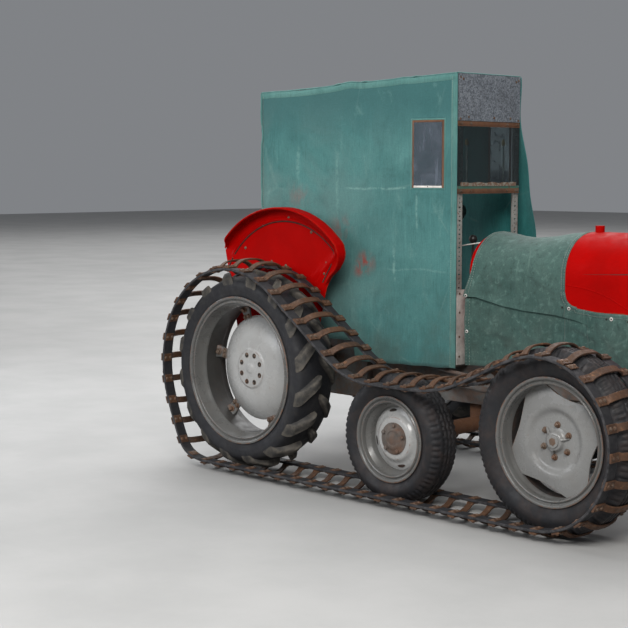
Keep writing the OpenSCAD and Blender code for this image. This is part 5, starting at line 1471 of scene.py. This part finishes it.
def make_apron():
    """The canvas over the rear of the bonnet with its side curtains, laid as one sheet."""
    low = CURTAIN_LOW + 1
    hood = hood_line(SIDE_Y, BONNET_LOW, BONNET_CREST + GROW, BONNET_RISE + GROW, 14, 26)
    arch = [q for q in hood if q[1] > curtain_edge(SEAM_X) + 4]
    lean = np.gradient(np.array(arch), axis=0)
    lean = np.stack([-lean[:, 1], lean[:, 0]], 1)
    lean /= np.linalg.norm(lean, axis=1, keepdims=True)

    def side_rows(x, side, top):
        """Places on one side from the hem up: y, z, normal, and whether the place is over the lap."""
        f = fold_z(x)
        rows = [(side * SIDE_Y, low + (f - low) * t, side, 0.0, side, False) for t in np.linspace(0, 1, 24)]
        return rows + [(side * SIDE_Y, f + 1 + (top - f - 1) * t, side, 0.0, side, True)
                       for t in np.linspace(0, 1, 14)]

    def whole(x):
        top = curtain_edge(SEAM_X)
        middle = [(y, z, n[0], n[1], -1 if y < 0 else 1, True) for (y, z), n in zip(arch, lean)]
        return side_rows(x, -1, top) + middle + side_rows(x, 1, top)[::-1]

    def lay(x, row, lift=0.0):
        y, z, ny, nz, side, above = row
        out = apron_puff(x, y, z, side, above) + lift
        back = 16 * math.exp(-(x - APRON_REAR) / 45) * smooth((1010 - z) / 120)
        return (x - back, y + ny * out, z + nz * out - dip(x, z))

    shape = Shape()
    for xs, section in ((np.linspace(APRON_REAR, SEAM_X, 64), whole),
                        (np.linspace(SEAM_X, CURTAIN_FRONT - 1, 52),
                         lambda x: side_rows(x, -1, curtain_edge(x))),
                        (np.linspace(SEAM_X, CURTAIN_FRONT - 1, 52),
                         lambda x: side_rows(x, 1, curtain_edge(x))[::-1])):
        rows = [[lay(x, row) for row in section(x)] for x in xs]
        m = len(rows[0])
        edge = [1.0 if j in (0, m - 1) or i == 0 else 0.0 for i in range(len(xs)) for j in range(m)]
        shape.ribbon(rows, flip=True, edge=edge)
    obj = shape.build("canvas_apron", ["canvas_apron", "canvas_inside_painted_shade"],
                      replaces=["engine_apron", "side_curtains"],
                      sharp=70)
    area = thicken(obj, 0.0022)

    hem = Shape()
    profile = ((0.0, 0.1), (0.05, 1.3), (0.5, 1.6), (0.92, 1.3), (1.0, 0.1))

    def stitches(line):
        for a, b in zip(line[::2], line[1::2]):
            hem.add(*tube([a, b], 0.7, 4), 1)

    # front edge over the bonnet, and rear edge
    for x0, width in ((SEAM_X - 22, 22), (APRON_REAR + 0.5, 20)):
        rows = []
        fine = [r for r in whole(x0) if x0 < APRON_REAR + 50 or r[1] > curtain_edge(SEAM_X)]
        for row in fine:
            rows.append([lay(x0 + width * w, row, lift) for w, lift in profile])
        hem.ribbon(rows)
        for w in (0.22, 0.8):
            dense = []
            for r, q in zip(fine, fine[1:]):
                count = max(1, int(math.hypot(q[0] - r[0], q[1] - r[1]) / 9))
                for k in range(count):
                    for t in (k / count, (k + 0.55) / count):
                        mid = tuple(a + (b - a) * t for a, b in zip(r[:4], q[:4])) + r[4:]
                        dense.append(lay(x0 + width * w, mid, 2.0))
            stitches(dense)
    # corner and upper edge of each curtain, and its lower hem
    for side in (-1, 1):
        path = [(SEAM_X + CORNER_R - CORNER_R * math.cos(a), curtain_edge(SEAM_X) - CORNER_R * math.sin(a))
                for a in np.linspace(0, math.pi / 2, 12)]
        path += [(x, curtain_edge(x)) for x in np.linspace(SEAM_X + CORNER_R + 5, CURTAIN_FRONT - 1, 50)]
        d = np.gradient(np.array(path), axis=0)
        d /= np.linalg.norm(d, axis=1, keepdims=True)

        def on_edge(i, w, lift):
            x, z = path[i][0] + d[i][1] * 22 * w, path[i][1] - d[i][0] * 22 * w
            return lay(x, (side * SIDE_Y, z, side, 0.0, side, True), lift)

        rows = [[on_edge(i, w, lift) for w, lift in profile] for i in range(len(path))]
        hem.ribbon(rows)
        for w in (0.2, 0.8):
            line = [Vector(on_edge(i, w, 2.0)) for i in range(len(path))]
            stitches([p for a, b in zip(line, line[1:]) for p in (a, a.lerp(b, 0.6))])
        rows = []
        for x in np.linspace(APRON_REAR + 1, CURTAIN_FRONT - 2, 90):
            rows.append([lay(x, (side * SIDE_Y, low + 24 * w, side, 0.0, side, False), lift) for w,
                         lift in profile])
        hem.ribbon(rows)
        # eyelets with turn buttons, the eyelets' dark centres painted shade in their holes
        for x, z in ((1513, 858), (1726, 828), (994, 884), (994, 723), (1830, 826)):
            row = (side * SIDE_Y, z, side, 0.0, side, z > fold_z(x))
            q = lay(x, row, 1.8)
            hem.add(*turned(q, (0, side, 0), [(8, -0.5), (8, 1.0), (6.4, 2.0), (4.2, 1.6), (4, 0.4)], 16), 2)
            hem.add(*turned(q, (0, side, 0), [(3.9, 0.2), (3.6, 0.6)], 12), 3)
        # small dark dots: painted shade of holes in the canvas
        for x, z in ((1477, 861), (1701, 826), (1806, 822)):
            hem.add(*turned(lay(x, (side * SIDE_Y, z, side, 0.0, side, True), 1.2), (0, side, 0),
                            [(5, -0.5), (4.4, 0.8)], 12), 3)
        rows = [[lay(1606 + 13 * w, (side * SIDE_Y, z, side, 0.0, side, z > fold_z(1612)), lift) for w,
                 lift in profile]
                for z in np.linspace(low + 2, curtain_edge(1612) - 23, 40)]
        hem.ribbon(rows)
    hem_obj = hem.build("apron_hem", ["canvas_apron", "thread", "alloy", "hole"], sharp=60)
    return obj


make_apron()


# frame of slotted angle bars
def slotted_leg(shape, start, run, width, length, thick_dir, thick, pitch, slot=0):
    """A flat bar with a row of round-ended slots: run is its long direction, width its cross direction."""
    s, r, w, t = Vector(start), Vector(run), Vector(width), Vector(thick_dir)
    count = max(1, int(length / pitch))
    step = length / count
    breadth = w.length
    w = w / breadth
    for k in range(count):
        outer = [(0, 0), (0.5, 0), (1, 0), (1, 0.5), (1, 1), (0.5, 1), (0, 1), (0, 0.5)]
        long = k % 3 == 2
        hw, hl = (5.0, 4.6) if not long else (8.0, 4.2)
        hole = []
        for a, b in outer:
            c, d = (a - 0.5) * 2, (b - 0.5) * 2
            n = math.hypot(c, d)
            hole.append((breadth * 0.56 + hw * c / n, step * 0.5 + hl * d / n))
        ring = [(a * breadth, b * step) for a, b in outer]
        flat = [s + w * a + r * (k * step + b) for a, b in ring + hole]
        points = [tuple(q) for q in flat] + [tuple(q + t * thick) for q in flat]
        faces = []
        for i in range(8):
            j = (i + 1) % 8
            faces += [(i, j, 8 + j, 8 + i), (24 + i, 24 + j, 16 + j, 16 + i), (8 + i, 8 + j, 24 + j, 24 + i)]
        faces += [(2, 3, 19, 18), (3, 4, 20, 19), (0, 7, 23, 16), (7, 6, 22, 23)]
        shape.add(points, faces, slot)


def make_posts():
    shape = Shape()
    leg, thick = 38.0, 3.0
    front_x, rear_x = POST_X, 4.0 - CAB_BACK
    front_y = CAB_FRONT_HALF - POST_INSET
    rear_y = cab_half(rear_x + leg) - POST_INSET
    for side in (-1, 1):
        for x, y, low, dx in ((front_x, front_y, 560.0, -1), (rear_x, rear_y, FENDER_FOOT, 1)):
            top = cab_top(x) - 7.6
            y0 = side * y
            slotted_leg(shape, (x, y0, low), (0, 0, 1), (dx * leg, 0, 0), top - low, (0, -side, 0), thick, 20)
            slotted_leg(shape, (x, y0, low), (0, 0, 1), (0, -side * leg, 0), top - low, (dx, 0, 0), thick, 20)
        lo = (rear_x, min(side * (FENDER_PLANE - 2.3), side * (rear_y - 3)), FENDER_FOOT)
        hi = (rear_x + leg, max(side * (FENDER_PLANE - 2.3), side * (rear_y - 3)), FENDER_FOOT + 28)
        shape.add(*chamfered(lo, hi, 1.0), 0)
        for z in (1852, 1668, 1650, 1345):
            hex_bolt(shape, (front_x + 3.2, side * (front_y - 14), z), (1, 0, 0), 5.5, 5, 1, 1.5)
    return shape.build("slotted_posts", ["angle", "bolt"], replaces=["cab_posts"],
                       sharp=30)


make_posts()


def make_front():
    """Head panel, windscreen rails and their fittings."""
    front_x = POST_X
    half = CAB_FRONT_HALF - POST_INSET - 0.3

    def bar(y, x0, x1, z0, z1):
        return [(front_x + x0, y, z0), (front_x + x1, y, z0), (front_x + x1, y, z1), (front_x + x0, y, z1)]

    panel = Shape()
    rows = []
    top = cab_top(front_x) - 4.5
    for z in np.linspace(1660.3, top, 26):
        row = []
        for y in np.linspace(half, -half, 34):
            dent = 1.3 * wobble(0, y, z, 0.012) + 0.8 * wobble(7, y, z, 0.03)
            rim_d = min(half - abs(y), z - 1660.3, top - z)
            row.append((front_x + 3.0 + dent * smooth(rim_d / 30) * 0.9, y, z))
        rows.append(row)
    shell(panel, rows, 2.6)
    for y, z in ((-150, 1677), (30, 1677), (-190, 1845), (190, 1845), (150, 1677)):
        hex_bolt(panel, (front_x + 3.4, y, z), (1, 0, 0), 6, 5, 1, 1.7)
    panel.build("head_sheet", ["zinc", "bolt"], replaces=["head_panel"])
    rails = Shape()
    for low, high, ragged in ((1334, 1358, 1.6), (1636, 1660, 0.5)):
        rows = []
        for y in np.linspace(-half, half, 70):
            lo = low + ragged * abs(wobble(y, low, 0, 0.05))
            hi = high - ragged * abs(wobble(y, high, 4, 0.06))
            face = front_x + 3.0 + 0.4 * wobble(y, low, 9, 0.08)
            rows.append([(front_x, y, lo), (face - 0.6, y, lo), (face, y, lo + 0.8), (face, y, (lo + hi) / 2),
                         (face, y, hi - 0.8), (face - 0.6, y, hi), (front_x, y, hi)])
        rails.add(*loft(rows), 0)
        # lip turned forward at the lower edge
        rows = [[(front_x + 3, y, low + 0.5), (front_x + 11 + wobble(y, 3, low, 0.06), y, low + 0.2),
                 (front_x + 11 + wobble(y, 3, low, 0.06), y, low + 2.6), (front_x + 3, y, low + 2.8)]
                for y in np.linspace(-half + 6, half - 6, 60)]
        rails.add(*loft(rows), 0)
        for y in (-195, -130, 130, 195):
            hex_bolt(rails, (front_x + 3.2, y, (low + high) / 2), (1, 0, 0), 5, 4.5, 1, 1.5)
    # pale filler strip over the lower rail, worn
    rows = []
    for y in np.linspace(-half + 20, half - 24, 60):
        hi = 1384 + 5 * wobble(y, 0, 5, 0.02)
        rows.append(bar(y, 3.3, 5.2, 1368, hi))
    rails.add(*loft(rows), 2)
    rows = []
    for y in np.linspace(-half + 4, half - 4, 60):
        hi = 1369 + 1.5 * wobble(y, 7, 5, 0.03)
        rows.append(bar(y, 0.2, 3.0, 1356, hi))
    rails.add(*loft(rows), 3)
    rails.build("screen_rails", ["rusty", "bolt", "flaked", "green"], replaces=["windscreen_rails"])
    pane = Shape()
    pane.add(*chamfered((front_x + 0.4, 0.6 - half, 1370), (front_x + 3.1, half - 0.6, 1635.7), 0.5), 0)
    pane.build("screen_pane", ["screen"], replaces=["windscreen_glass"])
    stays = Shape()
    for y in (-145, 118):
        stays.add(*tube([(front_x - 10, y, 1336), (front_x - 10, y, 1440), (front_x - 10, y, 1560)], 4.0, 10),
                  0)
        stays.add(*turned((front_x - 10, y, 1552), (0, 0, 1),
                          [(4, 0), (8, 3), (9, 10), (8, 18), (5, 26), (3, 30)], 14), 1)
        stays.add(*chamfered((front_x - 16, y - 10, 1334.5), (front_x - 5.4, y + 10, 1340), 1.0), 0)
    stays.build("screen_stays", ["alloy", "brass"])
    strips = Shape()
    for side in (-1, 1):
        y0, y1 = side * (half + 0.3), side * (half + 0.3 - 80)
        rows = []
        for z in np.linspace(563, 903, 30):
            row = []
            for y in np.linspace(max(y0, y1), min(y0, y1), 9):
                row.append((front_x + 3.3 + 0.5 * wobble(2, y, z, 0.02), y, z))
            rows.append(row)
        shell(strips, rows, 2.6)
        for z in (600, 690, 800, 886):
            hex_bolt(strips, (front_x + 3.4, side * (half - 18), z), (1, 0, 0), 5.5, 5, 1, 1.6)
    strips.build("foot_strips", ["alloy", "bolt"], replaces=["post_strips"])


make_front()


def make_windows():
    shape = Shape()
    for side in (-1, 1):
        for u0, u1, z0, z1, slot in ((66.4, 76, 1360.4, 1664.6, 0), (221, 230.6, 1360.4, 1664.6, 0),
                                     (76, 221, 1655, 1664.6, 0), (76, 221, 1360.4, 1371, 1)):
            rows = []
            vertical = z1 - z0 > u1 - u0
            for k in range(24):
                s = k / 23
                row = []
                bow = 0.5 * wobble(u0 + 300 * s, z0, side, 0.02)
                for a, out in ((0.0, -3.8), (0.0, 1.8), (0.12, 2.8), (0.5, 3.0), (0.88, 2.8), (1.0, 1.8),
                               (1.0, -3.8)):
                    u = u0 + (u1 - u0) * (a if vertical else s)
                    z = z0 + (z1 - z0) * (s if vertical else a)
                    row.append(side_place(side, u, z, out + bow))
                rows.append(row)
            shape.add(*loft(rows), slot)
        for u, z in ((71, 1390), (71, 1635), (226, 1390), (226, 1635), (148, 1366), (148, 1660)):
            q = side_place(side, u, z, 2.6)
            dome_bolt(shape, q, (math.sin(SLANT), side * math.cos(SLANT), 0), 3, 2, 2)
    return shape.build("window_bars", ["rusty", "alloy", "bolt"], replaces=["window_frames"])


make_windows()

# finishes of the solids that stay
FINISH = {
    "engine_block": "iron", "transmission_housing": "iron", "idler_axle": "rusty", "front_axle_beam": "iron",
    "knuckle_right": "iron", "knuckle_left": "iron", "radius_rods": "iron", "drag_links": "iron",
    "grille": "grey",
    "filler_cap": "red", "steering_column": "iron", "steering_wheel": "black",
    "control_levers": "black", "seat": "grey", "footboards": "iron", "cab_rails": "angle",
    "window_panes": "pane", "drawbar": "rusty", "pto_shaft": "bolt", "top_link_bracket": "iron",
}
for node, word in FINISH.items():
    for place in NODES[node].material_slots:
        place.material = M[word]

# floor and light
floor_mesh = bpy.data.meshes.new("floor")
floor_mesh.from_pydata([(-40, -40, 0), (40, -40, 0), (40, 40, 0), (-40, 40, 0)], [], [(0, 1, 2, 3)])
floor = bpy.data.objects.new("floor", floor_mesh)
scene.collection.objects.link(floor)
g = Graph("pale_floor")
tone = g.mix(g.step(g.noise(1.3, 6, 0.6), 0.3, 0.7), (0.335, 0.334, 0.328), (0.385, 0.382, 0.375))
g.set(Base_Color=tone, Roughness=0.75, Normal=g.bump(g.noise(40.0, 4), 0.08, 0.002))
floor_mesh.materials.append(g.material)

world = bpy.data.worlds.new("studio")
world.use_nodes = True
world.node_tree.nodes["Background"].inputs["Color"].default_value = (0.80, 0.83, 0.88, 1.0)
world.node_tree.nodes["Background"].inputs["Strength"].default_value = 0.27
scene.world = world


def soft_light(name, place, aim, size, power, colour=(1, 1, 1)):
    lamp = bpy.data.lights.new(name, "AREA")
    lamp.shape, lamp.size, lamp.size_y = "RECTANGLE", size[0], size[1]
    lamp.energy, lamp.color = power, colour
    obj = bpy.data.objects.new(name, lamp)
    obj.location = place
    obj.rotation_mode = "QUATERNION"
    obj.rotation_quaternion = (Vector(aim) - Vector(place)).to_track_quat("-Z", "Y")
    scene.collection.objects.link(obj)


soft_light("key", (3.6, -4.8, 4.4), (0.2, 0.0, 0.7), (3.2, 2.2), 380, (1.0, 0.98, 0.95))
soft_light("side", (-1.5, -6.0, 3.0), (0.0, 0.0, 0.8), (4.0, 2.0), 130, (0.95, 0.97, 1.0))
soft_light("top", (-0.5, 0.5, 5.5), (0.0, 0.0, 0.5), (4.0, 4.0), 120)
soft_light("back", (-4.0, 6.5, 6.5), (-3.5, 5.5, 0.0), (9.0, 9.0), 520)
soft_light("far", (-12.0, 12.0, 8.0), (-12.0, 12.1, 0.0), (22.0, 22.0), 1800)
soft_light("rear", (-5.0, -1.5, 2.4), (0.0, 0.0, 0.7), (2.5, 2.0), 70, (0.95, 0.97, 1.0))
scene.view_settings.view_transform = "Standard"
